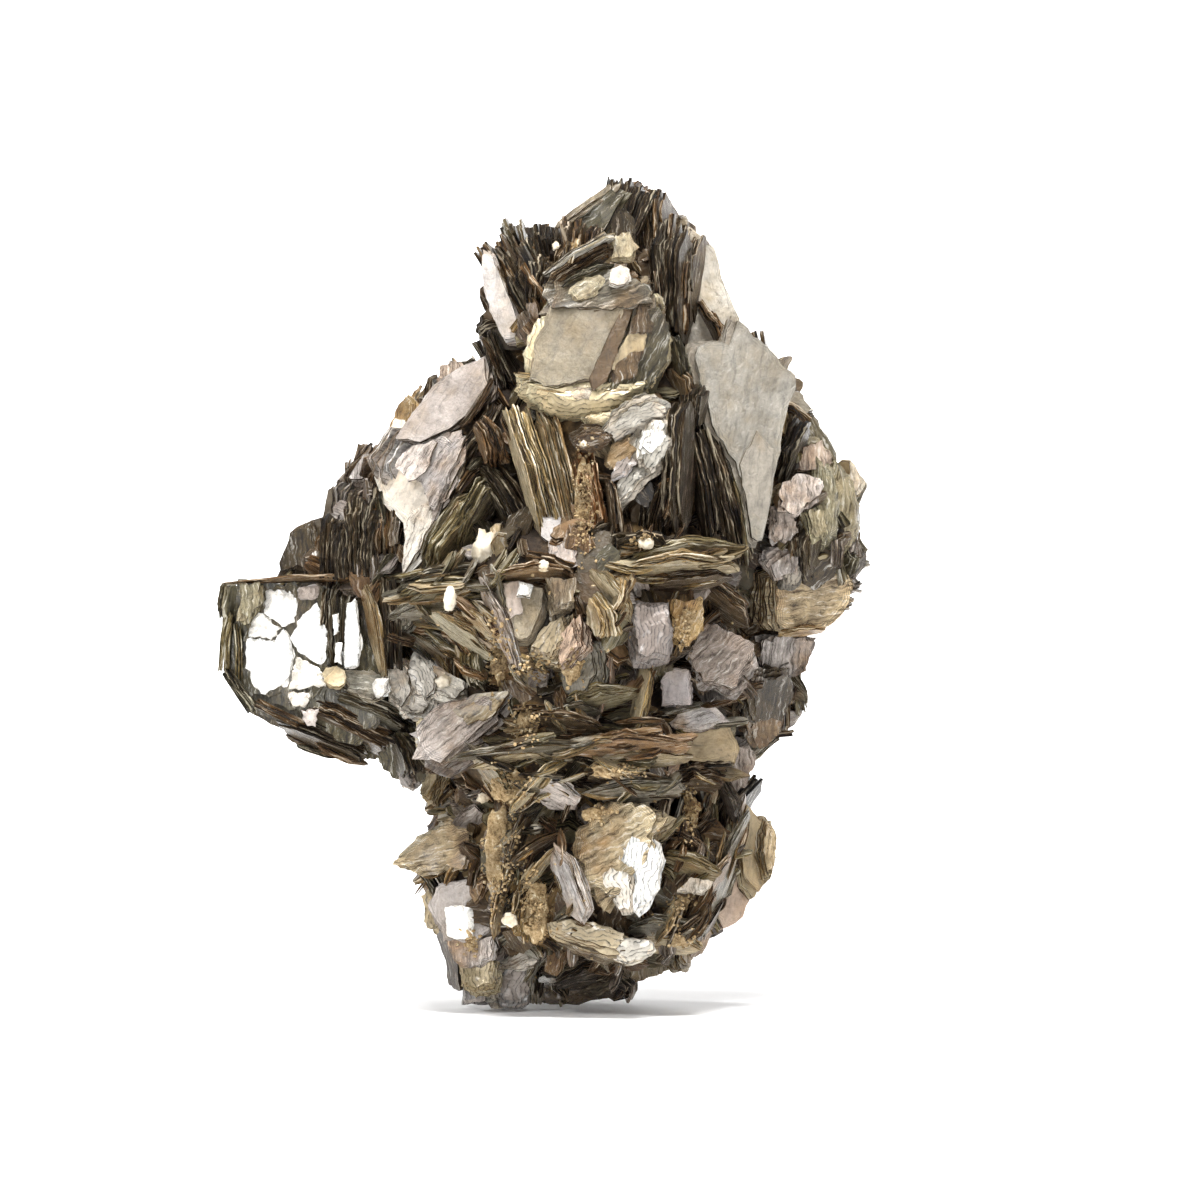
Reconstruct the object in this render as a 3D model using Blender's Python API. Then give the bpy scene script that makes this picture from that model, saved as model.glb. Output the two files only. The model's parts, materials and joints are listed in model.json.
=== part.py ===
"""A muscovite cluster: mica books of many sizes grown through each other on a rubbly core.

It stands on a flat break at its foot. The frame's origin is the middle of that break, +Z is up,
and -Y is the front, the side that shows the big silver book and the pale cap.
All the crystals are intergrown, so the cluster is one solid.

A direction seen from the front is written (right, up, toward), where toward points at the
viewer. A place seen from the front is written (right, up), in mm from the frame's origin. How far
a book stands proud is measured in mm from the skin of the core behind it.
"""

import random
from math import cos, pi, radians, sin, sqrt

import bmesh
import bpy
from mathutils import Matrix, Vector

MM = 0.001
NODE = "muscovite_cluster"

# The core that the books grow from: name, centre (x, y, z) and half sizes, in mm.
LUMPS = [
    ("crown", (14, 3, 127), (11, 12, 14)),
    ("crown left", (0, 4, 124), (9, 9, 13)),
    ("cap core", (8, -8, 121), (12, 14, 15)),
    ("upper body", (12, 0, 101), (22, 26, 22)),
    ("right shoulder", (33, 3, 100), (13, 16, 20)),
    ("left shoulder", (-11, 2, 98), (14, 19, 17)),
    ("middle", (7, -2, 74), (27, 34, 21)),
    ("waist", (6, -1, 48), (26, 31, 17)),
    ("lower", (7, -1, 25), (27, 29, 18)),
    ("left arm", (-41, 9, 64), (14, 12, 12)),
    ("left elbow", (-28, 5, 78), (14, 15, 13)),
    ("right bulge", (46, 7, 86), (10, 15, 16)),
    ("right hip", (37, 8, 60), (8, 12, 12)),
]
LUMP_CORNERS = 32
LUMP_ROUGHNESS = (1.0, 1.1)
LUMP_TURN = 0.3  # radians, how far a corner strays along its ring

# The broken foot: it flares upwards, and its drum reaches below the floor by what is cut off.
FOOT = {"radius": 15, "top_radius": 18, "height": 16, "corners": 11, "cut_off": 2}
FOOT_ROUGHNESS = (0.92, 1.08)
CUTTER_SIZE = 300

# How far the whole cluster reaches seen from the front: height, left and right, in mm.
OUTLINE = [
    (148, 13, 20), (143, -7, 27), (137, -11, 30), (127, -11, 34), (118, -12, 41), (113, -22, 46),
    (107, -27, 49), (102, -30, 52), (97, -35, 56), (91, -40, 58), (83, -47, 58), (78, -52, 57),
    (75, -58, 56), (64, -59, 49), (59, -58, 46), (51, -48, 43), (46, -40, 39), (43, -30, 37),
    (38, -23, 36), (27, -26, 42), (21, -24, 39), (10, -20, 28), (5, -18, 20), (0, -15, 14),
]

# Books seen on the flat: name, (x, z), how far proud, where the face looks (right, up, toward),
# thickness, and the outline's corners (x, z), all in mm.
PLATES = [
    ("lilac", (-8, 126), 1, (-0.62, -0.1, 0.78), 2.5,
     [(-11.5, 134), (-9, 133.5), (-5, 126), (-3, 118.5), (-7, 118), (-10, 124)]),
    ("crest slab", (31, 130), 0, (0.5, 0.15, 0.85), 5,
     [(24, 140.5), (27.5, 139.5), (31.5, 134.5), (33, 128.5), (39, 119), (27, 117), (25, 128)]),
    ("cap", (6, 118), 4, (-0.12, 0.2, 0.97), 10,
     [(-4.5, 122), (2, 126.5), (14, 129.5), (16.5, 125), (10, 112), (3, 109.5), (-4, 110.5)]),
    ("cap right", (17, 118), 6, (0.5, -0.1, 0.85), 9,
     [(15, 127), (22, 124), (23, 118), (20, 111), (11, 109), (10, 113)]),
    ("cap bright", (14, 132), 5, (0.1, 0.2, 0.97), 4,
     [(11, 133), (14, 137), (17, 135), (17, 130), (12, 129)]),
    ("right slab", (35, 102), 4, (0.36, 0.12, 0.92), 6,
     [(25, 119), (40, 119), (46.5, 113), (43, 102), (39, 83), (36.5, 82), (33, 98), (27, 110)]),
    ("wedge", (48, 73), 4, (0.4, -0.15, 0.9), 12,
     [(39, 76), (55, 80), (57, 77), (56, 72), (51, 67.5), (40, 67)]),
    ("flake high", (46, 94), 5, (0.35, 0.1, 0.93), 3,
     [(41, 91), (43, 96), (51.5, 97), (50, 93), (46, 90)]),
    ("flake low", (43.5, 86.5), 5, (0.3, 0, 0.95), 4,
     [(39, 85), (41, 91), (46, 89), (47, 83), (40, 82.5)]),
    ("glassy", (44, 63), 2, (0.5, -0.1, 0.85), 8,
     [(37, 67), (49.5, 66.5), (47, 60), (43, 57), (37, 60)]),
    ("dark block", (41, 56), 1, (0.55, -0.15, 0.8), 9,
     [(36, 62), (44, 61), (45, 54), (42, 47), (36, 50)]),
    ("brown end", (39.5, 51), 2, (0.35, -0.2, 0.9), 6,
     [(36, 54), (40, 55.5), (43, 52), (42, 48), (39, 46)]),
    ("tag", (35.5, 45.5), 1, (0.4, -0.1, 0.9), 5,
     [(33, 49), (37, 49), (38, 45), (37, 41), (34, 38), (31, 42)]),
    ("left slab", (-18, 109), 5, (-0.4, 0.33, 0.86), 5,
     [(-17.5, 117), (-10, 118), (-11, 111), (-17, 103.5), (-28, 99.5), (-24, 107), (-20, 114)]),
    ("left low slab", (-22, 90), 7, (-0.42, 0.1, 0.9), 6,
     [(-14, 103), (-17, 95), (-20, 84), (-26, 74), (-25.5, 86), (-29, 94), (-26, 101)]),
    ("step low", (-31, 98), 1, (-0.4, 0.4, 0.83), 6,
     [(-37, 96), (-34, 100), (-26, 102), (-27, 96), (-31, 93.5)]),
    ("step high", (-25.5, 105), 1, (-0.5, 0.2, 0.84), 5,
     [(-29.5, 103), (-28, 107.5), (-24, 109.5), (-21, 106), (-26, 101)]),
    ("arm back", (-43, 82), -2, (-0.25, 0.1, 0.96), 9,
     [(-49, 77), (-46, 86), (-40.5, 88), (-40, 95), (-33, 96), (-34, 77)]),
    ("silver book", (-43, 62), 5, (-0.1, 0.06, 0.99), 16,
     [(-57.5, 77), (-59.3, 68), (-58.5, 60), (-54, 52.5), (-41, 47.5), (-30, 45), (-26, 62),
      (-28, 77)]),
    ("arm foot", (-28, 44), 3, (-0.2, -0.2, 0.95), 10,
     [(-31, 50), (-30, 43), (-26, 40), (-20, 39), (-20, 50)]),
    ("lobe", (-15, 50), 6, (-0.3, 0.3, 0.9), 7,
     [(-22, 55), (-12, 57.5), (-5, 58), (-9, 51), (-16, 46), (-20, 39), (-23.5, 43), (-24, 50)]),
    ("pink plate", (-4, 72), 6, (0.1, 0.3, 0.95), 4,
     [(-8.5, 77.5), (-1, 76.5), (0.5, 71), (-2, 66.5), (-7, 69)]),
    ("pink plate small", (3, 75), 6, (0.15, 0.25, 0.95), 4,
     [(0.5, 78), (6, 78), (6, 73), (2, 72)]),
    ("tan leaf", (0.5, 67.5), 6, (-0.3, 0.4, 0.86), 3,
     [(-4, 66), (1, 70), (6, 72.5), (5, 67), (1, 62), (-3, 63)]),
    ("dark leaf", (6, 61), 6, (-0.5, 0.1, 0.85), 4,
     [(5, 67.5), (9, 66.5), (9.5, 58), (2, 54), (2, 59)]),
    ("square plate", (23, 59), 6, (0.1, 0.15, 0.97), 4,
     [(20.5, 62.5), (25.5, 61), (26, 55.5), (20.5, 55.5)]),
    ("right fan", (32, 64.5), 5, (0.45, 0.2, 0.87), 5,
     [(27, 70.5), (33, 68), (37.5, 66), (38, 63), (33, 58), (28, 60), (25.5, 65)]),
    ("tan end", (29.5, 48.5), 4, (0.15, 0.1, 0.97), 5,
     [(23, 52.5), (33, 52.5), (34.5, 45.5), (23.5, 44.5)]),
    ("rough face", (10, 30.5), 5, (-0.25, 0.12, 0.95), 7,
     [(5, 29), (7.5, 37), (16, 39), (20, 36), (15, 27), (9, 19), (7, 24)]),
    ("white flake", (16.5, 25.5), 9, (0.1, 0.08, 0.99), 5,
     [(13, 33.5), (20, 33), (22, 29), (22, 23), (18, 18), (11, 21), (10, 27)]),
    ("tan wing", (-18, 29.5), 5, (-0.2, 0.5, 0.84), 6,
     [(-27, 28), (-22.5, 34), (-20, 37), (-12, 34), (-9, 28), (-17, 25.5), (-24.5, 25.5)]),
    ("white plate", (-14.5, 17), 5, (-0.05, 0.08, 0.99), 5,
     [(-20.5, 20), (-17, 23.5), (-11, 21.5), (-9, 16), (-11, 11), (-17, 13), (-20.5, 17)]),
    ("lower lilac", (-12.5, 9), 5, (-0.2, 0.2, 0.96), 4,
     [(-17, 12.5), (-8.5, 12), (-8, 8), (-13, 3), (-16, 5)]),
    ("curved ledge", (11, 14), 6, (0.1, 0.5, 0.86), 4,
     [(1.5, 19.5), (8, 17), (16, 16.5), (20.5, 11), (14, 8.5), (7, 12.5)]),
    ("right lens", (38.5, 28), 3, (0.7, 0.05, 0.7), 5,
     [(36.5, 39), (41, 32.5), (42, 28), (41.5, 24), (38, 20), (35.5, 28)]),
    ("brown lens", (33, 22), 4, (0.55, -0.1, 0.83), 5,
     [(29, 18), (34, 26), (38, 28), (38.5, 20), (35, 16), (30, 12.5)]),
    ("foot lilac", (-5.5, 4.5), 5, (0, 0.1, 0.99), 4,
     [(-9, 8), (-2, 8), (-3, 1), (-8, -1)]),
    ("foot tan", (18, 8), 3, (0.2, -0.2, 0.95), 5,
     [(14, 9.5), (20, 11), (27, 10), (24, 7), (17, 4)]),
]

# Books seen edge on: name, (x, z), how far proud, the way the sheets run (right, up),
# how much they turn toward the front, (length, depth, thickness), and how pointed the ends are.
STACKS = [
    ("peak left", (8.5, 138), 1, (0.5, 1), 0.3, (12, 12, 6), 0.2),
    ("peak", (14.5, 139.5), 2, (0.3, 1), 0.3, (17, 13, 7), 0.2),
    ("peak right", (20.5, 137), 1, (-0.1, 1), 0.3, (18, 12, 6), 0.1),
    ("peak lip", (9, 143), 2, (0.83, 0.55), 0.3, (13, 9, 2), 0.3),
    ("left spike", (-4, 135.5), 2, (-0.35, 1), 0.2, (15, 9, 3.5), 0.6),
    ("left comb", (-6.5, 130), 3, (-0.45, 1), 0.2, (16, 11, 5), 0.1),
    ("middle comb", (2, 136), 2, (-0.2, 1), 0.2, (13, 10, 11), 0.1),
    ("right comb", (25, 130), 5, (0.05, 1), 0.3, (21, 11, 7), 0.1),
    ("right comb foot", (29.5, 123.5), 5, (0.5, -0.85), 0.3, (12, 8, 3.5), 0.2),
    ("cap stack", (8, 133.5), 5, (0.88, 0.48), 0.3, (15, 10, 4.5), 0.1),
    ("dagger", (12.5, 119), 7, (0.45, 1), 0.5, (17, 4, 2), 0.5),
    ("big bundle", (0, 94), 8, (0.33, -0.94), 0.25, (32, 13, 8), 0.15),
    ("dark bundle", (-6, 90), 5, (0.45, -0.88), 0.2, (20, 12, 6), 0.1),
    ("rusty strip", (7, 93), 5, (0.2, -1), 0.3, (22, 10, 3.5), 0.1),
    ("cavity post", (24, 97), 6, (0.05, 1), 0.3, (26, 11, 4), 0.2),
    ("arc", (32, 92), 6, (0.28, -1), 0.3, (28, 11, 4), 0.4),
    ("left edge", (-6.5, 112), 4, (-0.4, 1), 0.2, (17, 11, 5), 0.2),
    ("olive fan", (-14.5, 88), 6, (0.6, 0.8), 0.35, (19, 12, 8), 0.2),
    ("flat fan", (-17, 78), 7, (0.97, 0.18), 0.3, (21, 13, 6), 0.2),
    ("nose", (-19.5, 71.5), 8, (1, 0.08), 0.35, (16, 13, 5), 0.6),
    ("nose low", (-19.5, 65.5), 7, (0.83, -0.55), 0.35, (17, 11, 4), 0.4),
    ("vee", (-14, 64), 6, (0.1, 1), 0.25, (9, 9, 5), 0.2),
    ("arm comb", (-35, 84), 3, (0.05, 1), 0.2, (16, 12, 8), 0.1),
    ("arm comb inner", (-28.5, 86), 4, (0.05, 1), 0.2, (14, 11, 6), 0.1),
    ("arm shelf", (-38, 77.3), 9, (1, 0.01), 0.2, (25, 9, 1.6), 0.1),
    ("arm post", (-30.5, 68), 9, (0.12, -1), 0.3, (17, 7, 2.4), 0.1),
    ("arm lines", (-29, 55), 7, (0.93, -0.35), 0.4, (13, 10, 4), 0.2),
    ("arm belly", (-36, 50), 5, (0.9, -0.4), 0.5, (15, 12, 6), 0.2),
    ("blue blade", (-7, 69), 9, (0.37, -0.93), 0.3, (19, 9, 3), 0.4),
    ("brow blade", (-4, 79), 8, (1, 0.02), 0.4, (14, 9, 2.2), 0.6),
    ("flat blade", (10, 56.5), 8, (1, 0.08), 0.4, (17, 10, 3.5), 0.6),
    ("tan blade", (12, 75.5), 7, (0.62, -0.78), 0.4, (11, 8, 3), 0.5),
    ("lilac block", (17, 69), 6, (0.1, 1), 0.35, (13, 10, 7), 0.1),
    ("ochre block", (24, 70.5), 6, (0.2, 1), 0.5, (9, 9, 7), 0.1),
    ("right stack", (33.5, 72), 6, (0.78, -0.6), 0.5, (14, 11, 7), 0.2),
    ("olive blade", (24.5, 81.5), 8, (1, 0.08), 0.4, (21, 12, 3.5), 0.5),
    ("olive blade low", (26, 77.8), 8, (1, 0.1), 0.45, (17, 11, 3.5), 0.5),
    ("maroon stack", (30.5, 57), 4, (0.9, -0.35), 0.4, (9, 8, 5), 0.3),
    ("dark lines", (4, 52.5), 7, (1, -0.12), 0.4, (13, 10, 4), 0.4),
    ("long blade", (-2, 48), 10, (1, 0.02), 0.35, (28, 10, 2.4), 0.5),
    ("tan ledge", (17, 47.5), 7, (1, 0.05), 0.5, (26, 12, 5), 0.3),
    ("cross blade", (-1.5, 42), 9, (0.75, 0.66), 0.3, (13, 7, 1.6), 0.5),
    ("olive cross", (-8.5, 43), 4, (0.55, -0.83), 0.5, (11, 8, 4), 0.4),
    ("pale leaf", (2, 40), 7, (0.95, -0.25), 0.7, (9, 8, 3), 0.5),
    ("brow leaf", (16, 40.5), 7, (1, 0.02), 0.45, (18, 10, 3), 0.6),
    ("thin upright", (-5.5, 27), 5, (0.25, 1), 0.3, (20, 7, 2), 0.6),
    ("grey curl", (5, 24), 5, (0.3, -0.95), 0.4, (12, 8, 4), 0.3),
    ("rusty block", (-1.5, 19), 4, (0.1, 1), 0.5, (12, 9, 6), 0.1),
    ("brown slats", (25.5, 27), 6, (0.95, -0.25), 0.45, (11, 9, 4), 0.3),
    ("long edge", (32, 25), 6, (0.4, 0.92), 0.3, (23, 9, 2.4), 0.4),
    ("upright a", (29, 37), 5, (0.15, -1), 0.3, (13, 8, 2), 0.5),
    ("upright b", (32.5, 39), 4, (0.45, -0.9), 0.3, (11, 8, 2.4), 0.5),
    ("grey slats", (22, 15), 6, (1, -0.08), 0.45, (15, 10, 3.5), 0.4),
    ("low fan", (24.5, 11), 4, (-0.3, 1), 0.4, (8, 8, 6), 0.2),
    ("left rim", (-17.5, 8), 2, (0.3, -0.95), 0.4, (16, 9, 3), 0.3),
    ("dark foot", (6, 8), 4, (0.9, 0.3), 0.5, (13, 9, 6), 0.3),
]

# Books with curled, rounded rims: name, (x, z), how far proud, where the face looks,
# the long way (right, up), and (length, width, thickness).
CURLS = [
    ("cap lip", (3.5, 109), 8, (-0.1, -0.25, 0.96), (1, -0.08), (17, 9, 9)),
    ("cap cream", (8, 129), 4, (0.3, -0.5, 0.8), (0.8, 0.45), (7.5, 4.5, 3.5)),
    ("cap knob", (14.5, 137), 8, (0, 0.5, 0.86), (1, 0), (6, 5, 4)),
    ("cap rim", (20, 126), 7, (0.5, 0.3, 0.8), (-0.3, 1), (8, 6, 6)),
    ("silver curl", (19.5, 102.5), 8, (0.25, -0.12, 0.95), (0.8, -0.45), (13, 9, 7)),
    ("cream curl", (12.5, 106), 9, (0.05, -0.3, 0.95), (1, -0.05), (14, 7, 7)),
    ("silver wing", (15, 94.5), 6, (0.1, 0.2, 0.97), (0.62, 0.78), (14, 5, 5)),
    ("rim high", (48, 102), 3, (0.6, 0.25, 0.75), (0.45, -0.9), (25, 14, 8)),
    ("rim", (52.5, 88), 2, (0.68, 0, 0.73), (0.05, 1), (21, 17, 9)),
    ("clump high", (40.5, 80.5), 6, (0.2, 0.2, 0.96), (1, 0), (10, 6.5, 6)),
    ("clump low", (45, 77.5), 6, (0.3, 0.1, 0.95), (0.3, 1), (7, 7, 5)),
    ("curtain", (-22, 59.5), 5, (-0.5, 0.25, 0.83), (0.9, -0.3), (16, 12, 8)),
    ("flap", (-20.5, 42), 2, (-0.6, 0.1, 0.8), (0.25, 1), (12, 6, 5)),
    ("low left", (-20.5, 19), 1, (-0.5, 0, 0.86), (0.1, 1), (13, 9, 6)),
    ("ochre pad", (27, 36), 4, (0.2, 0.1, 0.97), (0.1, 1), (9, 6, 5)),
    ("grain left", (-10.3, 83), 5, (0, 0.2, 0.98), (0.2, 1), (6.5, 4.5, 4)),
]

ROOT = 3  # mm, how deep in the core a book that lies flat on it starts
STACK_SINK = 0.2  # the share of a stack's depth that its middle lies behind its proud point
STACK_CORNERS = 6
CURL_CORNERS = 8
PLATE_SPREAD = 1.06  # how much wider than its face a flat book is at its root
CURL_SPREAD = 1.15
RAGGED_TURN = 0.25  # how unevenly a drawn book's corners are spaced
RAGGED_REACH = 0.08  # and how unevenly far out they lie

# Books that cover the back and the sides: drawn once from a fixed seed.
WRAP_SEED = 11
WRAP_PER_LUMP = {
    "crown": 4, "crown left": 2, "cap core": 0, "upper body": 9, "right shoulder": 7,
    "left shoulder": 7, "middle": 11, "waist": 8, "lower": 9, "left arm": 5, "left elbow": 4,
    "right bulge": 5, "right hip": 3,
}
WRAP_LENGTH = (15, 28)
WRAP_THICKNESS = (3.5, 7)
WRAP_NARROWNESS = 0.62
WRAP_POINTED = 0.2
WRAP_FLAT_SHARE = 0.5
WRAP_HEIGHTS = (-0.9, 0.9)  # of the lump's half height
WRAP_TURNS = (radians(-30), radians(210))  # from the right side, round the back, to the left
WRAP_LEAN = {"flat": 0.5, "edge": 0.25, "edge along": 0.6}
LOWEST_WRAP = 4
OUTLINE_MARGIN = 1

SMALLEST_EDGE = 0.15  # mm, the two ends of a shorter edge become one corner


def world_vector(right, up, toward):
    """A direction given as seen from the front, in the frame's axes."""
    return Vector((right, -toward, up)).normalized()


def surface_depth(x, z):
    """The y of the core's front skin at (x, z), or of the nearest lump's middle beside the core."""
    skins = []
    nearest = None
    for _, (cx, cy, cz), (rx, ry, rz) in LUMPS:
        reach = ((x - cx) / rx) ** 2 + ((z - cz) / rz) ** 2
        if reach < 1:
            skins.append(cy - ry * sqrt(1 - reach))
        if nearest is None or reach < nearest[0]:
            nearest = (reach, cy)
    return min(skins, default=nearest[1])


def book_frame(centre, normal, along):
    """Puts a book's own axes in the world: X along it, Y across it and Z out of its face."""
    z_axis = normal.normalized()
    x_axis = (along - along.dot(z_axis) * z_axis).normalized()
    y_axis = z_axis.cross(x_axis)
    axes = Matrix((x_axis, y_axis, z_axis)).transposed().to_4x4()
    return Matrix.Translation(centre) @ axes


def prism(corners, bottom, top, spread=1.0):
    """A closed flat-faced book between two heights, which is spread times as wide at the bottom."""
    mesh = bmesh.new()
    bmesh.ops.create_cone(mesh, cap_ends=True, segments=len(corners), radius1=1, radius2=1, depth=1)
    low = sorted((v for v in mesh.verts if v.co.z < 0), key=angle_of)
    high = sorted((v for v in mesh.verts if v.co.z > 0), key=angle_of)
    middle = sum((Vector(c) for c in corners), Vector((0, 0))) / len(corners)
    ordered = sorted(corners, key=lambda c: turn_of(Vector(c) - middle))
    for under, over, corner in zip(low, high, ordered):
        wide = middle + (Vector(corner) - middle) * spread
        under.co = (wide.x, wide.y, bottom)
        over.co = (corner[0], corner[1], top)
    bmesh.ops.triangulate(mesh, faces=mesh.faces)
    return mesh


def turn_of(flat):
    """The direction of a flat vector, from 0 to a full turn."""
    return Vector((flat[0], flat[1])).angle_signed(Vector((1, 0)), 0) % (2 * pi)


def angle_of(vertex):
    return turn_of(vertex.co)


def ragged_corners(name, length, width, count, pointed):
    """Corners of a book with no drawn outline: an oval pulled to a point at both ends."""
    draw = random.Random(name)
    start = draw.random() * 2 * pi / count
    corners = []
    for i in range(count):
        turn = start + 2 * pi * (i + draw.uniform(-RAGGED_TURN, RAGGED_TURN)) / count
        reach = 1 + draw.uniform(-RAGGED_REACH, RAGGED_REACH)
        reach *= (cos(turn) ** 4 + sin(turn) ** 4) ** -0.25
        along = reach * cos(turn) * length / 2
        across = reach * sin(turn) * width / 2 * (1 - pointed * cos(turn) ** 2)
        corners.append((along, across))
    return corners


def add_book(name, mesh, frame, collection):
    """Links a finished book in its place, as a guide that the cluster takes in."""
    mesh.transform(Matrix.Scale(MM, 4) @ frame)
    data = bpy.data.meshes.new(name)
    mesh.to_mesh(data)
    mesh.free()
    book = bpy.data.objects.new(name, data)
    book.hide_render = True
    book.display_type = "WIRE"
    collection.objects.link(book)
    return book


def add_plates(collection):
    for name, (x, z), proud, looks, thickness, outline in PLATES:
        centre = Vector((x, surface_depth(x, z) - proud, z))
        normal = world_vector(*looks)
        frame = book_frame(centre, normal, Vector((0, 0, 1)))
        to_book = frame.inverted()
        corners = []
        for corner_x, corner_z in outline:
            lean = (corner_x - x) * normal.x + (corner_z - z) * normal.z
            corner = Vector((corner_x, centre.y - lean / normal.y, corner_z))
            corners.append(tuple((to_book @ corner)[:2]))
        depth = max(thickness, proud + ROOT)
        add_book(name, prism(corners, -depth, 0, PLATE_SPREAD), frame, collection)


def add_stacks(collection):
    for name, (x, z), proud, (right, up), toward, (length, depth, thickness), pointed in STACKS:
        centre = Vector((x, surface_depth(x, z) - proud + depth * STACK_SINK, z))
        along = world_vector(right, up, 0)
        across = world_vector(up, -right, toward)
        frame = book_frame(centre, across, along)
        corners = ragged_corners(name, length, depth, STACK_CORNERS, pointed)
        add_book(name, prism(corners, -thickness / 2, thickness / 2), frame, collection)


def add_curls(collection):
    for name, (x, z), proud, looks, (right, up), (length, width, thickness) in CURLS:
        centre = Vector((x, surface_depth(x, z) - proud, z))
        frame = book_frame(centre, world_vector(*looks), world_vector(right, up, 0))
        corners = ragged_corners(name, length, width, CURL_CORNERS, 0)
        depth = max(thickness, proud + ROOT)
        add_book(name, prism(corners, -depth, 0, CURL_SPREAD), frame, collection)


def wrap_places(lump, centre, half_sizes):
    """Drawn places for the books that wrap one lump: a name, a frame, a size and corners."""
    draw = random.Random(f"{lump} {WRAP_SEED}")
    placed = 0
    while placed < WRAP_PER_LUMP[lump]:
        height = draw.uniform(*WRAP_HEIGHTS)
        turn = draw.uniform(*WRAP_TURNS)
        ring = sqrt(1 - height * height)
        way = Vector((cos(turn) * ring, sin(turn) * ring, height))
        point = Vector([centre[i] + half_sizes[i] * way[i] for i in range(3)])
        outward = Vector([way[i] / half_sizes[i] for i in range(3)]).normalized()
        sheet_way = Vector([draw.uniform(-1, 1) for _ in range(3)])
        if draw.random() < WRAP_FLAT_SHARE:
            frame = book_frame(point, outward + WRAP_LEAN["flat"] * sheet_way, sheet_way)
        else:
            normal = outward.cross(sheet_way) + WRAP_LEAN["edge"] * outward
            frame = book_frame(point, normal, outward + WRAP_LEAN["edge along"] * sheet_way)
        length = draw.uniform(*WRAP_LENGTH)
        thickness = draw.uniform(*WRAP_THICKNESS)
        name = f"{lump} wrap {placed}"
        width = length * WRAP_NARROWNESS
        corners = ragged_corners(name, length, width, STACK_CORNERS, WRAP_POINTED)
        if not inside_other_lump(point, lump) and within_outline(frame, corners):
            placed += 1
            yield name, frame, corners, thickness


def within_outline(frame, corners):
    """True where every corner of a book stays inside the outline seen from the front."""
    for corner in corners:
        spot = frame @ Vector((corner[0], corner[1], 0))
        if not LOWEST_WRAP < spot.z < OUTLINE[0][0]:
            return False
        above = [row for row in OUTLINE if row[0] >= spot.z][-1]
        below = [row for row in OUTLINE if row[0] < spot.z][0]
        share = (spot.z - below[0]) / (above[0] - below[0])
        left = below[1] + share * (above[1] - below[1])
        right = below[2] + share * (above[2] - below[2])
        if not left + OUTLINE_MARGIN < spot.x < right - OUTLINE_MARGIN:
            return False
    return True


def inside_other_lump(point, lump):
    for name, centre, half in LUMPS:
        reach = sum(((point[i] - centre[i]) / half[i]) ** 2 for i in range(3))
        if name != lump and reach < 1:
            return True
    return False


def add_wrap(collection):
    for lump, centre, half_sizes in LUMPS:
        for name, frame, corners, thickness in wrap_places(lump, centre, half_sizes):
            add_book(name, prism(corners, -thickness / 2, thickness / 2), frame, collection)


def lump_mesh(name, centre, half_sizes):
    """One boulder of the core: the flat faces that span corners scattered round an oval."""
    draw = random.Random(name)
    mesh = bmesh.new()
    for i in range(LUMP_CORNERS):
        height = 1 - 2 * (i + 0.5) / LUMP_CORNERS
        turn = i * pi * (3 - sqrt(5)) + draw.uniform(-LUMP_TURN, LUMP_TURN)
        reach = draw.uniform(*LUMP_ROUGHNESS)
        ring = sqrt(1 - height * height)
        way = (cos(turn) * ring, sin(turn) * ring, height)
        corner = [centre[k] + half_sizes[k] * way[k] * reach for k in range(3)]
        bmesh.ops.create_vert(mesh, co=corner)
    bmesh.ops.convex_hull(mesh, input=mesh.verts)
    loose = [v for v in mesh.verts if not v.link_faces]
    bmesh.ops.delete(mesh, geom=loose, context="VERTS")
    return mesh


def add_foot(collection):
    draw = random.Random("foot")
    depth = FOOT["height"] + FOOT["cut_off"]
    mesh = bmesh.new()
    bmesh.ops.create_cone(
        mesh,
        cap_ends=True,
        segments=FOOT["corners"],
        radius1=FOOT["radius"],
        radius2=FOOT["top_radius"],
        depth=depth,
    )
    reach = [draw.uniform(*FOOT_ROUGHNESS) for _ in range(FOOT["corners"])]
    for vertex in mesh.verts:
        corner = round(angle_of(vertex) / (2 * pi) * FOOT["corners"]) % FOOT["corners"]
        vertex.co.x *= reach[corner]
        vertex.co.y *= reach[corner]
    bmesh.ops.triangulate(mesh, faces=mesh.faces)
    height = depth / 2 - FOOT["cut_off"]
    add_book("foot", mesh, Matrix.Translation((0, 0, height)), collection)


def add_floor_cutter(cutters):
    """A block under the floor, which leaves the foot's flat break."""
    size = CUTTER_SIZE * MM
    bpy.ops.mesh.primitive_cube_add(size=size, location=(0, 0, -size / 2))
    cutter = bpy.context.object
    cutter.name = "below_floor"
    cutter.hide_render = True
    cutter.display_type = "WIRE"
    for owner in cutter.users_collection:
        owner.objects.unlink(cutter)
    cutters.objects.link(cutter)
    return cutter


def grow_together(cluster, books, cutter):
    """Joins every book in the collection to the cluster, and breaks it off flat at the floor."""
    union = cluster.modifiers.new("grown together", "BOOLEAN")
    union.operation = "UNION"
    union.operand_type = "COLLECTION"
    union.collection = books
    union.solver = "EXACT"
    cut = cluster.modifiers.new("flat break", "BOOLEAN")
    cut.operation = "DIFFERENCE"
    cut.object = cutter
    cut.solver = "EXACT"
    bpy.context.view_layer.update()
    evaluated = cluster.evaluated_get(bpy.context.evaluated_depsgraph_get())
    joined = bpy.data.meshes.new_from_object(evaluated)
    cluster.modifiers.clear()
    cluster.data = joined


def shells_of(mesh):
    """The separate closed skins of a mesh, each as a list of faces."""
    left = set(mesh.faces)
    while left:
        shell = [left.pop()]
        for face in shell:
            for edge in face.edges:
                for other in edge.link_faces:
                    if other in left:
                        left.remove(other)
                        shell.append(other)
        yield shell


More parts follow.
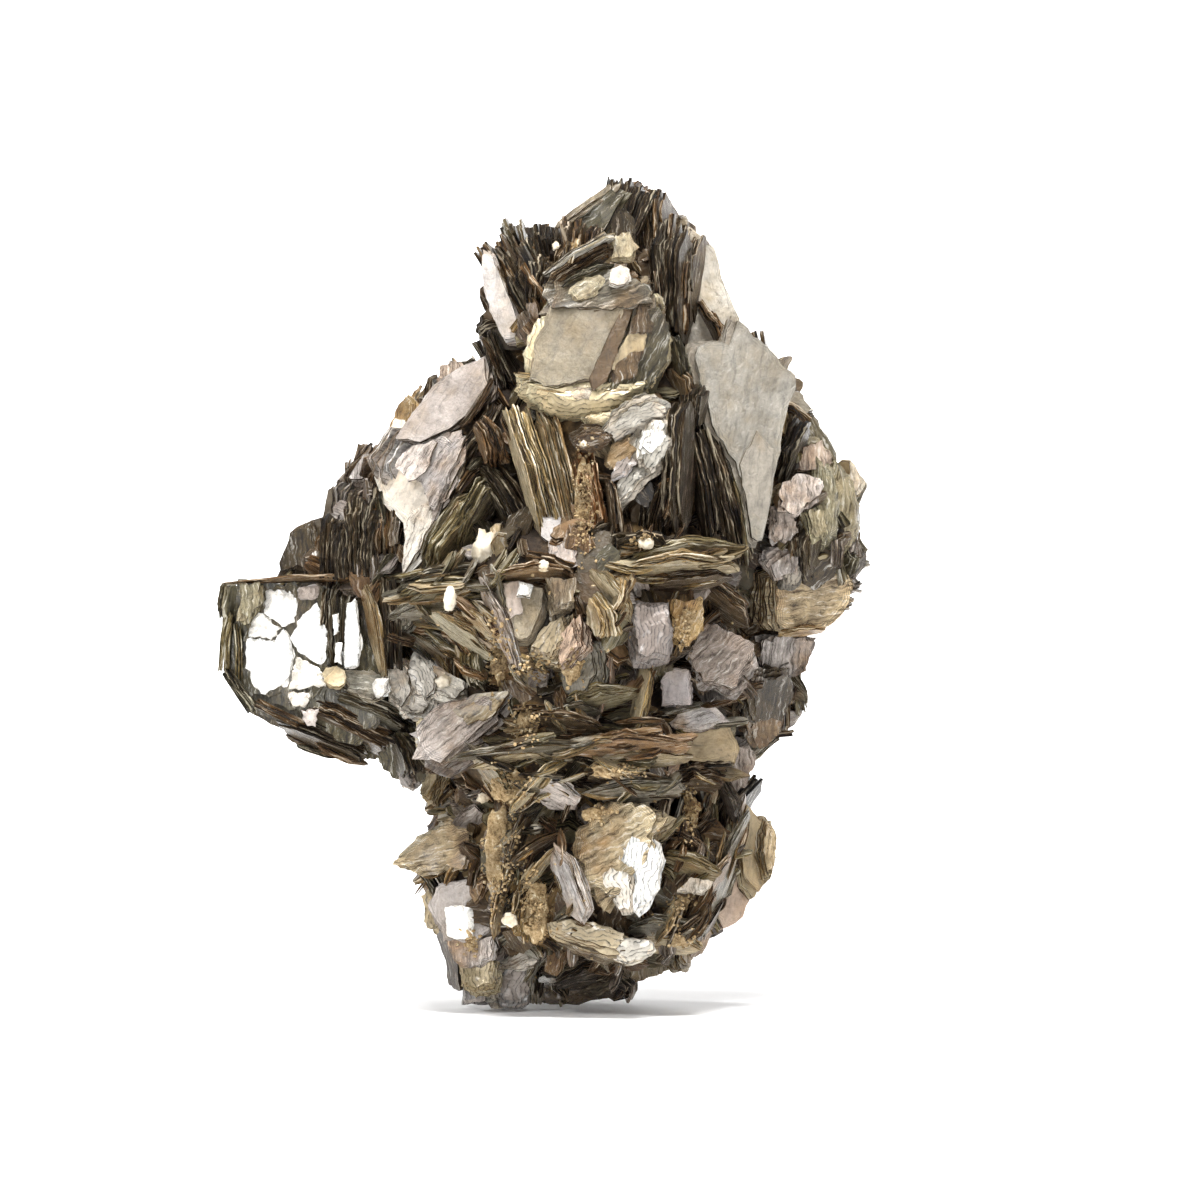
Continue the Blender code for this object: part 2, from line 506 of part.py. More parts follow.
def safe_to_collapse(edge):
    """True where the two ends share only the two corners across the edge."""
    first, second = edge.verts
    around_first = {e.other_vert(first) for e in first.link_edges}
    around_second = {e.other_vert(second) for e in second.link_edges}
    return len(around_first & around_second) == 2


def collapse_short_edges(mesh):
    """Takes out the slivers left along the joins, one edge at a time."""
    found = True
    while found:
        found = False
        short = [e for e in mesh.edges if e.calc_length() < SMALLEST_EDGE * MM]
        for edge in sorted(short, key=lambda e: e.calc_length()):
            if edge.is_valid and safe_to_collapse(edge):
                middle = (edge.verts[0].co + edge.verts[1].co) / 2
                bmesh.ops.pointmerge(mesh, verts=list(edge.verts), merge_co=middle)
                found = True


def clean_skin(cluster):
    """Keeps the one outer skin, without slivers, hollows sealed inside or loose bits."""
    mesh = bmesh.new()
    mesh.from_mesh(cluster.data)
    bmesh.ops.triangulate(mesh, faces=mesh.faces)
    shells = sorted(shells_of(mesh), key=len, reverse=True)
    for shell in shells[1:]:
        bmesh.ops.delete(mesh, geom=shell, context="FACES")
    collapse_short_edges(mesh)
    mesh.to_mesh(cluster.data)
    mesh.free()


def mica_material():
    material = bpy.data.materials.new("mica")
    material.use_nodes = True
    shader = material.node_tree.nodes["Principled BSDF"]
    shader.inputs["Base Color"].default_value = (0.36, 0.31, 0.25, 1)
    shader.inputs["Roughness"].default_value = 0.42
    shader.inputs["Metallic"].default_value = 0.15
    return material


def main():
    for leftover in list(bpy.data.objects):
        bpy.data.objects.remove(leftover)
    cluster_collection = bpy.data.collections.new("muscovite cluster")
    books = bpy.data.collections.new("books")
    cutters = bpy.data.collections.new("cutters")
    for collection in (cluster_collection, books, cutters):
        bpy.context.scene.collection.children.link(collection)
    for name, centre, half_sizes in LUMPS[1:]:
        add_book(name, lump_mesh(name, centre, half_sizes), Matrix.Identity(4), books)
    add_foot(books)
    add_plates(books)
    add_stacks(books)
    add_curls(books)
    add_wrap(books)
    cluster = add_book(NODE, lump_mesh(*LUMPS[0]), Matrix.Identity(4), cluster_collection)
    cluster.hide_render = False
    cluster.display_type = "TEXTURED"
    grow_together(cluster, books, add_floor_cutter(cutters))
    clean_skin(cluster)
    cluster.data.name = NODE
    cluster.data.materials.append(mica_material())


main()
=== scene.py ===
import json
import random
from math import atan2, cos, pi, radians, sin, sqrt

import bmesh
import bpy
from mathutils import Matrix, Vector, noise
from mathutils.bvhtree import BVHTree

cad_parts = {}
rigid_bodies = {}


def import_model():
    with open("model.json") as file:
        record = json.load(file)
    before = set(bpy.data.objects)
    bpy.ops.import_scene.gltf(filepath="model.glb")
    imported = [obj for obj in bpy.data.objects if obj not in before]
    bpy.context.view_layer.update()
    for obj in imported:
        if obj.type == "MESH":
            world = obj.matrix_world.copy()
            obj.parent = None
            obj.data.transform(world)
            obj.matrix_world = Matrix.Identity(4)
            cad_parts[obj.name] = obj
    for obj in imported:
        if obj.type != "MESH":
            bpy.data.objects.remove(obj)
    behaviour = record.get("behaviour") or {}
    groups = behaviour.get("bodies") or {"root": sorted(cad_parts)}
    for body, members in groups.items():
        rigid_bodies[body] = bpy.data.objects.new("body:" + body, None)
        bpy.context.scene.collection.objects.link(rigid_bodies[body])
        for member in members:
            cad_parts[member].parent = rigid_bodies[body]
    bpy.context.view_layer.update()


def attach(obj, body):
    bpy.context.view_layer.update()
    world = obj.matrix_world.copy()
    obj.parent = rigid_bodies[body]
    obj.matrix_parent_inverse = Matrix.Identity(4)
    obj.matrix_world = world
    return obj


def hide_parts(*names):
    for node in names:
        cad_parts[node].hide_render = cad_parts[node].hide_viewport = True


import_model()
node = "muscovite_cluster"
mm = 0.001

# the boulders that the books grow from, centre and half sizes in mm, as in the part
coreLumps = {
    "crown": ((14, 3, 127), (11, 12, 14)),
    "crown left": ((0, 4, 124), (9, 9, 13)),
    "cap core": ((8, -8, 121), (12, 14, 15)),
    "upper body": ((12, 0, 101), (22, 26, 22)),
    "right shoulder": ((33, 3, 100), (13, 16, 20)),
    "left shoulder": ((-11, 2, 98), (14, 19, 17)),
    "middle": ((7, -2, 74), (27, 34, 21)),
    "waist": ((6, -1, 48), (26, 31, 17)),
    "lower": ((7, -1, 25), (27, 29, 18)),
    "left arm": ((-41, 9, 64), (14, 12, 12)),
    "left elbow": ((-28, 5, 78), (14, 15, 13)),
    "right bulge": ((46, 7, 86), (10, 15, 16)),
    "right hip": ((37, 8, 60), (8, 12, 12)),
}
# how far the cluster reaches seen from the front: height, left, right
outlineRows = [
    (148, 13, 20), (143, -7, 27), (137, -11, 30), (127, -11, 34), (118, -12, 41), (113, -22, 46),
    (107, -27, 49), (102, -30, 52), (97, -35, 56), (91, -40, 58), (83, -47, 58), (78, -52, 57),
    (75, -58, 56), (64, -59, 49), (59, -58, 46), (51, -48, 43), (46, -40, 39), (43, -30, 37),
    (38, -23, 36), (27, -26, 42), (21, -24, 39), (10, -20, 28), (5, -18, 20), (0, -15, 14),
]

# colours of the sheets: the flat face, the broken edge
tones = {
    "ink": ("43361f", "30230f"),
    "umber": ("5a4830", "4a3519"),
    "brown": ("7d6242", "62482a"),
    "moss": ("50482f", "3a311b"),
    "olive": ("8d8264", "685a38"),
    "tan": ("a39272", "7d6540"),
    "fawn": ("726753", "62523a"),
    "clay": ("7c705b", "6b593c"),
    "dusk": ("857a72", "655745"),
    "drab": ("6c6248", "544726"),
    "cream": ("b7a888", "9c8458"),
    "sand": ("a08354", "7a5b2c"),
    "rust": ("8c6136", "664220"),
    "grey": ("8f8776", "62573f"),
    "slate": ("625b4a", "443a26"),
    "stone": ("8b8376", "6f6450"),
    "mauve": ("958a81", "6e604e"),
    "lilac": ("c6bdb6", "8b7d6c"),
    "lavender": ("d0c6c3", "8f8278"),
    "pink": ("aa937e", "836650"),
    "pearl": ("c9bfaf", "95866a"),
    "ash": ("beb3ab", "857868"),
    "bone": ("d8d0c3", "a08f74"),
    "butter": ("d0c19c", "a1885a"),
    # the silver face colour is near white partly as a painted reflection: the mirror flash of a fresh
    # cleavage, on top of its pale tone
    "silver": ("e6e4de", "6b6048"),
}


def linear(hexColour):
    parts = [int(hexColour[i:i + 2], 16) / 255 for i in (0, 2, 4)]
    return [c / 12.92 if c <= 0.04045 else ((c + 0.055) / 1.055) ** 2.4 for c in parts] + [1.0]


def fromFront(right, up, toward):
    # a direction as it is seen from the front: to the right, up, and towards the eye
    return Vector((right, -toward, up)).normalized()


def anyWay(draw):
    return Vector([draw.uniform(-1, 1) for _ in range(3)])


def onLump(centre, half, way, size=1):
    return Vector([centre[i] + half[i] * way[i] * size for i in range(3)])


def lumpReach(point, centre, half):
    # below 1 inside the boulder, above 1 outside it
    return sum(((point[i] - centre[i]) / half[i]) ** 2 for i in range(3))


def skinDepth(x, z):
    # how deep the front of the boulders lies at a place seen from the front
    skins, nearest = [], None
    for (cx, cy, cz), (rx, ry, rz) in coreLumps.values():
        reach = ((x - cx) / rx) ** 2 + ((z - cz) / rz) ** 2
        if reach < 1:
            skins.append(cy - ry * sqrt(1 - reach))
        if nearest is None or reach < nearest[0]:
            nearest = (reach, cy)
    return min(skins, default=nearest[1])


def bookFrame(centre, normal, along):
    # the frame a book is built in: x along its run, z out of its face
    zAxis = normal.normalized()
    xAxis = (along - along.dot(zAxis) * zAxis).normalized()
    return Matrix.Translation(centre) @ Matrix((xAxis, zAxis.cross(xAxis), zAxis)).transposed().to_4x4()


def meshOf(bm, name):
    mesh = bpy.data.meshes.new(name)
    bm.to_mesh(mesh)
    bm.free()
    mesh.polygons.foreach_set("use_smooth", [True] * len(mesh.polygons))
    return mesh


def putInScene(name, content):
    made = bpy.data.objects.new(name, content)
    bpy.context.scene.collection.objects.link(made)
    return made


class Graph:
    # one material's nodes: a colour or shade may be a socket, a number or a hex colour
    def __init__(self, name):
        self.material = bpy.data.materials.new(name)
        self.material.use_nodes = True
        self.nodes = self.material.node_tree.nodes
        self.shader = self.nodes["Principled BSDF"]

    def add(self, kind, **settings):
        made = self.nodes.new("ShaderNode" + kind)
        for key, value in settings.items():
            if hasattr(made, key):
                setattr(made, key, value)
            else:
                made.inputs[key].default_value = value
        return made

    def link(self, output, target):
        self.material.node_tree.links.new(output, target)

    def attribute(self, name, output="Color"):
        return self.add("Attribute", attribute_name=name).outputs[output]

    def objectSpace(self):
        return self.add("TexCoord").outputs["Object"]

    def maths(self, operation, *values):
        made = self.add("Math", operation=operation)
        for socket, value in zip(made.inputs, values):
            if isinstance(value, (int, float)):
                socket.default_value = value
            else:
                self.link(value, socket)
        return made.outputs[0]

    def stretched(self, source, scale):
        mapping = self.add("Mapping", Scale=scale)
        self.link(source, mapping.inputs["Vector"])
        return mapping.outputs["Vector"]

    def noise(self, source, scale, detail=4.0, roughness=0.6, distortion=0.0):
        texture = self.add("TexNoise", Scale=scale, Detail=detail, Roughness=roughness, Distortion=distortion)
        self.link(source, texture.inputs["Vector"])
        return texture.outputs["Fac"]

    def warped(self, source, scale, amount):
        # the same space pushed about by a soft noise
        texture = self.add("TexNoise", Scale=scale, Detail=3.0)
        self.link(source, texture.inputs["Vector"])
        push = self.add("VectorMath", operation="MULTIPLY_ADD")
        push.inputs[1].default_value = amount
        self.link(texture.outputs["Color"], push.inputs[0])
        self.link(source, push.inputs[2])
        return push.outputs["Vector"]

    def rimSteps(self, book, every, wobble, width):
        # the edges of the sheets above, as lines that follow a rim every so many mm and fade inward
        sway = self.noise(book, 0.35, 1.5, 0.4)
        lap = self.maths("MULTIPLY_ADD", sway, wobble, self.attribute("rimDistance", "Fac"))
        part = self.maths("FRACT", self.maths("DIVIDE", lap, every))
        inward = self.maths("DIVIDE", self.attribute("rimDistance", "Fac"), width)
        return part, self.ramp(inward, [(0.0, 1.0), (0.45, 0.6), (1.0, 0.0)])

    def ramp(self, source, stops):
        made = self.add("ValToRGB")
        elements = made.color_ramp.elements
        while len(elements) < len(stops):
            elements.new(0.5)
        for element, (place, shade) in zip(elements, stops):
            element.position = place
            element.color = linear(shade) if isinstance(shade, str) else (shade, shade, shade, 1)
        self.link(source, made.inputs["Fac"])
        return made.outputs["Color"]

    def blend(self, mode, share, first, second):
        mix = self.add("Mix", data_type="RGBA", blend_type=mode)
        if isinstance(share, float):
            mix.inputs["Factor"].default_value = share
        else:
            self.link(share, mix.inputs["Factor"])
        for side, value in (("A", first), ("B", second)):
            socket = [s for s in mix.inputs if s.name == side and s.type == "RGBA"][0]
            if isinstance(value, str):
                socket.default_value = linear(value)
            elif isinstance(value, tuple):
                socket.default_value = value
            else:
                self.link(value, socket)
        return [s for s in mix.outputs if s.type == "RGBA"][0]

    def multiply(self, first, second, share=1.0):
        return self.blend("MULTIPLY", share, first, second)

    def bump(self, height, strength, distance, under=None):
        bump = self.add("Bump", Strength=strength, Distance=distance)
        self.link(height, bump.inputs["Height"])
        if under:
            self.link(under, bump.inputs["Normal"])
        return bump.outputs["Normal"]

    def finish(self, colour, normal=None, shine=None, **plain):
        # shine is a roughness that varies; what is the same all over is set on the shader's own socket
        for value, name in ((colour, "Base Color"), (shine, "Roughness"), (normal, "Normal")):
            if value is not None:
                self.link(value, self.shader.inputs[name])
        for name, value in plain.items():
            self.shader.inputs[name.replace("_", " ")].default_value = value
        return self.material


def slabFaceMaterial():
    # a broad cleavage face: pearly and mottled, with the sheets above it ending near its rim
    g = Graph("slabFace")
    plain = g.attribute("bookSpace", "Vector")
    book = g.warped(plain, 0.5, (1.0, 1.2, 0))
    clouds = g.ramp(g.noise(plain, 0.22, 5.0, 0.6, 0.4), [(0.34, 0.78), (0.5, 0.98), (0.66, 1.12)])
    mottle = g.noise(book, 0.9, 8.0, 0.78)
    streaks = g.noise(g.stretched(book, (0.2, 1.3, 0.3)), 1.0, 6.0, 0.68)
    steps, nearRim = g.rimSteps(plain, 0.5, 2.4, 1.7)
    warm = g.ramp(g.noise(plain, 0.16, 4.0, 0.6), [(0.45, 0.0), (0.7, 0.6)])
    colour = g.multiply(g.multiply(g.attribute("faceTint"), clouds), "dcc79f", warm)
    colour = g.multiply(colour, g.ramp(mottle, [(0.32, 0.3), (0.42, 0.88), (0.6, 1.16)]), 0.7)
    colour = g.multiply(colour, g.ramp(streaks, [(0.34, 0.45), (0.46, 0.97), (0.64, 1.15)]), 0.6)
    lines = g.ramp(steps, [(0.0, 1.25), (0.3, 1.1), (0.8, 0.85), (1.0, 0.3)])
    relief = g.bump(mottle, 0.5, 0.0006, g.bump(g.noise(plain, 0.3, 5.0, 0.6), 0.6, 0.0014))
    return g.finish(g.multiply(colour, lines, nearRim), relief, g.ramp(mottle, [(0.3, 0.46), (0.7, 0.24)]),
                    IOR=1.56, Metallic=0.08, Coat_Weight=0.25, Coat_Roughness=0.25)


def flakeFaceMaterial():
    # a small or torn face: crumpled, streaked along its length, with painted highlights on its pale streaks,
    # and broken sheets round its rim whose steps carry painted highlight and shade
    g = Graph("flakeFace")
    book = g.warped(g.attribute("bookSpace", "Vector"), 0.5, (1.2, 1.8, 0))
    steps, nearRim = g.rimSteps(book, 0.45, 1.8, 2.2)
    lines = g.noise(g.stretched(book, (0.2, 1.9, 0.3)), 1.0, 7.0, 0.72)
    mottle = g.noise(book, 0.9, 8.0, 0.8)
    patches = g.ramp(g.noise(book, 0.25, 4.0, 0.6), [(0.32, 0.65), (0.5, 0.96), (0.68, 1.25)])
    colour = g.multiply(g.attribute("faceTint"), patches)
    dark = g.multiply(g.attribute("edgeTint"), (0.2, 0.17, 0.14, 1))
    # the pale cream streaks are painted highlights, glints on the face
    bright = g.blend("MIX", 0.5, g.attribute("faceTint"), "eeeae0")
    colour = g.blend("MIX", g.ramp(lines, [(0.37, 0.95), (0.46, 0.25), (0.51, 0.0)]), colour, dark)
    colour = g.blend("MIX", g.ramp(lines, [(0.55, 0.0), (0.63, 0.85)]), colour, bright)
    colour = g.multiply(colour, g.ramp(mottle, [(0.34, 0.22), (0.44, 0.85), (0.6, 1.3)]), 0.9)
    # near the rim each step is brightened to almost twice and darkened towards the next: painted highlight
    # and shade on the steps
    rimStepHighlightAndShade = g.multiply(colour, g.ramp(steps, [(0.0, 1.9), (0.3, 1.2), (0.78, 0.7), (1.0, 0.08)]))
    colour = g.blend("MIX", nearRim, colour, rimStepHighlightAndShade)
    stain = g.ramp(g.noise(g.objectSpace(), 90.0, 4.0, 0.6), [(0.5, 0.0), (0.68, 0.75)])
    relief = g.bump(mottle, 0.7, 0.0007, g.bump(lines, 0.6, 0.0005))
    return g.finish(g.multiply(colour, "c09a62", stain), relief, g.ramp(lines, [(0.3, 0.5), (0.7, 0.26)]),
                    IOR=1.45, Metallic=0.08, Coat_Weight=0.18, Coat_Roughness=0.2)


def bookEdgeMaterial():
    # the broken side of a book: hundreds of sheet edges, with painted highlights on the bright ones and
    # painted shade in the dark gaps between them
    g = Graph("bookEdge")
    book = g.warped(g.attribute("bookSpace", "Vector"), 0.3, (0, 0, 1.5))
    fine = g.noise(g.stretched(book, (0.1, 0.1, 2.2)), 1.0, 5.0, 0.72, 0.1)
    broad = g.noise(g.stretched(book, (0.05, 0.05, 0.6)), 1.0, 3.0, 0.6)
    # the near-black gap colour is painted shade between the sheets
    dark = g.multiply(g.attribute("edgeTint"), (0.09, 0.07, 0.055, 1))
    # the lifted face tint mixed with cream gives painted highlights, glints on the sheet edges
    lifted = g.add("Gamma", Gamma=0.52)
    g.link(g.attribute("faceTint"), lifted.inputs["Color"])
    bright = g.blend("MIX", 0.13, lifted.outputs["Color"], "f2ecdf")
    outOfGaps = g.ramp(fine, [(0.43, 0.0), (0.495, 0.9), (0.54, 1.0)])
    colour = g.blend("MIX", outOfGaps, dark, g.attribute("edgeTint"))
    colour = g.blend("MIX", g.ramp(fine, [(0.545, 0.0), (0.6, 1.0)]), colour, bright)
    colour = g.multiply(colour, g.ramp(broad, [(0.35, 0.5), (0.65, 1.3)]), 0.8)
    dirt = g.ramp(g.noise(g.objectSpace(), 160.0, 5.0, 0.7), [(0.52, 0.0), (0.7, 0.6)])
    return g.finish(g.multiply(colour, "b08850", dirt), g.bump(fine, 0.9, 0.0006),
                    g.ramp(fine, [(0.3, 0.8), (0.7, 0.36)]), IOR=1.28)


def silverFaceMaterial():
    # a fresh cleavage that throws the light straight back, with thin dark steps round its rim
    g = Graph("silverFace")
    book = g.attribute("bookSpace", "Vector")
    clouds = g.ramp(g.noise(book, 0.4, 6.0, 0.7, 0.8), [(0.34, 0.6), (0.46, 0.93), (0.6, 1.0)])
    steps, nearRim = g.rimSteps(book, 0.6, 1.6, 1.4)
    colour = g.multiply(g.attribute("faceTint"), clouds)
    colour = g.multiply(colour, g.ramp(steps, [(0.0, 1.0), (0.72, 0.85), (1.0, 0.1)]), nearRim)
    relief = g.bump(steps, 0.4, 0.0004, g.bump(g.noise(book, 0.35, 4.0, 0.6), 0.5, 0.001))
    return g.finish(colour, relief, g.ramp(g.noise(book, 1.2, 4.0), [(0.3, 0.18), (0.7, 0.4)]),
                    IOR=1.58, Metallic=0.3, Coat_Weight=0.5, Coat_Roughness=0.14)


def wavyFaceMaterial():
    # a curled pearly face crossed by the thin dark wavy edges of its own torn sheets
    g = Graph("wavyFace")
    plain = g.attribute("bookSpace", "Vector")
    book = g.warped(plain, 0.4, (1.5, 1.5, 0))
    apart = g.add("SeparateXYZ")
    g.link(g.warped(g.warped(plain, 0.16, (0, 6.0, 0)), 0.8, (0, 0.8, 0)), apart.inputs["Vector"])
    part = g.maths("FRACT", g.maths("DIVIDE", apart.outputs["Y"], 0.85))
    lines = g.ramp(part, [(0.0, 0.85), (0.12, 1.05), (0.58, 0.95), (0.8, 0.6), (0.92, 0.03), (1.0, 0.3)])
    patchy = g.ramp(g.noise(book, 0.7, 4.0, 0.7), [(0.4, 0.15), (0.5, 0.75), (0.6, 1.0)])
    colour = g.multiply(g.attribute("faceTint"), lines, patchy)
    mottle = g.noise(book, 0.8, 6.0, 0.7)
    colour = g.multiply(colour, g.ramp(mottle, [(0.3, 0.4), (0.4, 0.95), (0.6, 1.08)]), 0.6)
    relief = g.bump(mottle, 0.4, 0.0006, g.bump(part, 0.7, 0.0006))
    return g.finish(colour, relief, g.ramp(mottle, [(0.3, 0.45), (0.7, 0.2)]),
                    IOR=1.58, Metallic=0.15, Coat_Weight=0.4, Coat_Roughness=0.2)


def rubbleMaterial():
    # the crumbly matrix between the books
    g = Graph("rubble")
    place = g.objectSpace()
    grain = g.noise(place, 700.0, 6.0, 0.8)
    colour = g.multiply(g.attribute("faceTint"), g.ramp(g.noise(place, 160.0), [(0.35, 0.6), (0.65, 1.35)]))
    colour = g.multiply(colour, g.ramp(grain, [(0.32, 0.25), (0.5, 0.9), (0.68, 1.9)]), 0.95)
    return g.finish(colour, g.bump(grain, 0.9, 0.0012), Roughness=0.8)


def crumbMaterial():
    # sandy iron-stained grains
    g = Graph("crumb")
    place = g.objectSpace()
    colour = g.ramp(g.noise(place, 900.0, 6.0, 0.8),
                    [(0.34, "46321a"), (0.46, "9a8058"), (0.56, "b49b72"), (0.66, "e6d8b8")])
    colour = g.multiply(colour, g.ramp(g.noise(place, 150.0, 3.0), [(0.35, 0.6), (0.65, 1.15)]))
    return g.finish(colour, g.bump(g.noise(place, 1500.0, 3.0), 0.7, 0.0006), Roughness=0.75)


def noduleMaterial():
    # chalky cream lumps
    g = Graph("nodule")
    place = g.objectSpace()
    colour = g.ramp(g.noise(place, 260.0, 5.0, 0.7), [(0.3, "bba98a"), (0.5, "ded2bb"), (0.7, "f1ebdf")])
    return g.finish(colour, g.bump(g.noise(place, 900.0, 5.0), 0.7, 0.0006), Roughness=0.6)


materials = [
    slabFaceMaterial(), flakeFaceMaterial(), bookEdgeMaterial(), silverFaceMaterial(), rubbleMaterial(),
    crumbMaterial(), noduleMaterial(), wavyFaceMaterial(),
]
slabSlot, flakeSlot, edgeSlot, silverSlot, rubbleSlot, crumbSlot, noduleSlot, wavySlot = range(8)
print("materials made:", len(materials))

# how a book is built: the pitch of its sheets in mm, how many of them make a packet that juts out together,
# by how much each of the other words changes a sheet, and the material of its faces
styles = {
    "slab": {"pitch": 0.7, "fray": 0.03, "packet": 2, "ledge": 0.04, "ripple": 0.4, "broken": 0.35,
             "rings": 2, "shrink": 0.09, "faces": slabSlot},
    "terrace": {"pitch": 0.7, "fray": 0.03, "packet": 2, "ledge": 0.04, "ripple": 0.3, "broken": 0.2,
                "rings": 2, "shrink": 0.2, "scallop": 0.03},
    "stack": {"pitch": 0.45, "fray": 0.07, "packet": 2, "ledge": 0.09, "ripple": 0.15, "splay": 0.12},
    "blade": {"pitch": 0.32, "fray": 0.06, "packet": 1, "ledge": 0.1, "taper": 0.45, "bend": 0.04},
    "lens": {"pitch": 0.36, "fray": 0.06, "packet": 2, "ledge": 0.09, "taper": 0.7, "bend": 0.05},
    "ragged": {"pitch": 0.45, "fray": 0.14, "packet": 1, "ledge": 0.12, "ripple": 0.3, "splay": 0.3,
               "shrink": 0.16, "broken": 0.3, "rings": 1},
    "curl": {"pitch": 0.5, "fray": 0.05, "packet": 1, "ledge": 0.05, "ripple": 0.35, "curl": -1.2,
             "shrink": 0.4, "scallop": 0.1, "rings": 2},
    "sheet": {"pitch": 0.5, "fray": 0.02, "packet": 2, "ledge": 0.03, "ripple": 0.15, "rings": 1,
              "faces": slabSlot},
    "patch": {"pitch": 0.5, "fray": 0.04, "packet": 2, "ledge": 0.02, "ripple": 0.3, "rings": 1,
              "chip": 0.7, "faces": slabSlot},
    "waves": {"pitch": 0.45, "fray": 0.05, "packet": 1, "ledge": 0.05, "ripple": 0.6, "shrink": 0.3,
              "scallop": 0.06, "broken": 0.4, "rings": 3, "rippleScale": 0.3, "faces": wavySlot},
    "crumple": {"pitch": 0.5, "fray": 0.12, "packet": 1, "ledge": 0.12, "ripple": 0.9, "shrink": 0.35,
                "scallop": 0.14, "broken": 0.6, "rings": 3, "rippleScale": 0.45, "faces": wavySlot},
    "rim": {"pitch": 0.45, "fray": 0.04, "packet": 1, "ledge": 0.03, "ripple": 0.35, "shrink": 0.4,
            "scallop": 0.04, "rings": 2, "rippleScale": 0.25, "curl": -1.0, "chip": 0.9},
    "lip": {"pitch": 0.45, "fray": 0.04, "packet": 1, "ledge": 0.03, "ripple": 0.35, "shrink": 0.45,
            "scallop": 0.03, "rings": 2, "rippleScale": 0.25, "curl": -1.4, "chip": 0.9, "faces": wavySlot},
    "shell": {"pitch": 0.45, "fray": 0.06, "packet": 1, "ledge": 0.06, "ripple": 0.3, "curl": 1.0,
              "shrink": 0.35, "scallop": 0.1, "rings": 2},
}
plainStyle = {"pitch": 0.6, "fray": 0.04, "packet": 3, "ledge": 0.05, "ripple": 0.15, "splay": 0.0,
              "taper": 0.0, "bend": 0.0, "curl": 0.0, "shrink": 0.0, "scallop": 0.0, "broken": 0.0,
              "rings": 0, "rippleScale": 0.16, "gap": 0.55, "chip": 0.5, "fan": 0.05, "faces": flakeSlot}
ringWidths = {1: (0.4,), 2: (0.2, 0.3), 3: (0.12, 0.23, 0.25)}  # how far the rings of a sheet lie apart
# what is the same in every book: steps and waves in mm, and the ranges that shades and breaks are drawn from
sheets = {
    "step": 0.14, "stepLimits": (0.65, 1.3), "lobes": 3.5, "deepRim": 3.0, "innerReach": 0.7,
    "rimWaves": 0.45, "chipWaves": 1.3, "bookShade": (0.88, 1.12), "sheetShade": (0.84, 1.14),
    "edgeShade": (0.6, 1.3), "warmth": (-0.05, 0.05), "gaps": (0.05, 0.3, 1.0), "breakAt": (0.35, 0.8),
    "breakCut": 0.95, "ledgeSway": 0.4, "packetShift": 0.6, "ringsAbove": 0.55, "ringsUpTo": 1.5,
    "waveStep": 1.3, "chipStep": 2.7, "lobeTurn": 0.15, "splayFrom": -0.4, "curlShare": 0.7,
}
sheetForms = {}
pieceNames = []


def sheetForm(corners, rings):
    # one thin closed sheet on a unit circle: its mesh, and where each of its corners belongs
    if (corners, rings) in sheetForms:
        return sheetForms[corners, rings]
    bm = bmesh.new()
    bmesh.ops.create_circle(bm, cap_ends=True, segments=corners, radius=1)
    for ring in range(rings):
        middle = max(bm.faces, key=lambda f: len(f.verts) - abs(f.calc_center_median().length))
        bmesh.ops.inset_region(bm, faces=[middle], use_boundary=True, use_even_offset=True,
                               thickness=ringWidths[rings][ring])
    top = bmesh.ops.extrude_face_region(bm, geom=bm.faces[:])["geom"]
    bmesh.ops.translate(bm, verts=[v for v in top if isinstance(v, bmesh.types.BMVert)], vec=(0, 0, 1))
    bmesh.ops.recalc_face_normals(bm, faces=bm.faces)
    for face in bm.faces:
        face.material_index = flakeSlot if abs(face.normal.z) > 0.5 else edgeSlot
    mesh = meshOf(bm, "sheetForm")
    spots = []
    for vertex in mesh.vertices:
        turn = atan2(vertex.co.y, vertex.co.x) / (2 * pi) * corners
        spots.append((round(turn) % corners, vertex.co.xy.length, vertex.co.z > 0.5))
    sheetForms[corners, rings] = (mesh, spots)
    return sheetForms[corners, rings]


def outlineAround(corners, step):
    # the points of a closed outline, with its corners kept, anticlockwise round its middle
    middle = sum((Vector(c) for c in corners), Vector((0, 0))) / len(corners)
    ordered = sorted(corners, key=lambda c: atan2(c[1] - middle.y, c[0] - middle.x))
    points = []
    for start, end in zip(ordered, ordered[1:] + ordered[:1]):
        pieces = max(1, round((Vector(end) - Vector(start)).length / step))
        points += [Vector(start).lerp(Vector(end), i / pieces) for i in range(pieces)]
    return points, middle


def raggedCorners(name, length, width, count, pointed):
    # uneven corners round a rectangle with soft corners, narrowed towards both ends
    draw = random.Random(name)
    start = draw.random() * 2 * pi / count
    corners = []
    for i in range(count):
        turn = start + 2 * pi * (i + draw.uniform(-0.25, 0.25)) / count
        reach = 1 + draw.uniform(-0.08, 0.08)
        reach *= (cos(turn) ** 4 + sin(turn) ** 4) ** -0.25
        along = reach * cos(turn) * length / 2
        across = reach * sin(turn) * width / 2 * (1 - pointed * cos(turn) ** 2)
        corners.append((along, across))
    return corners


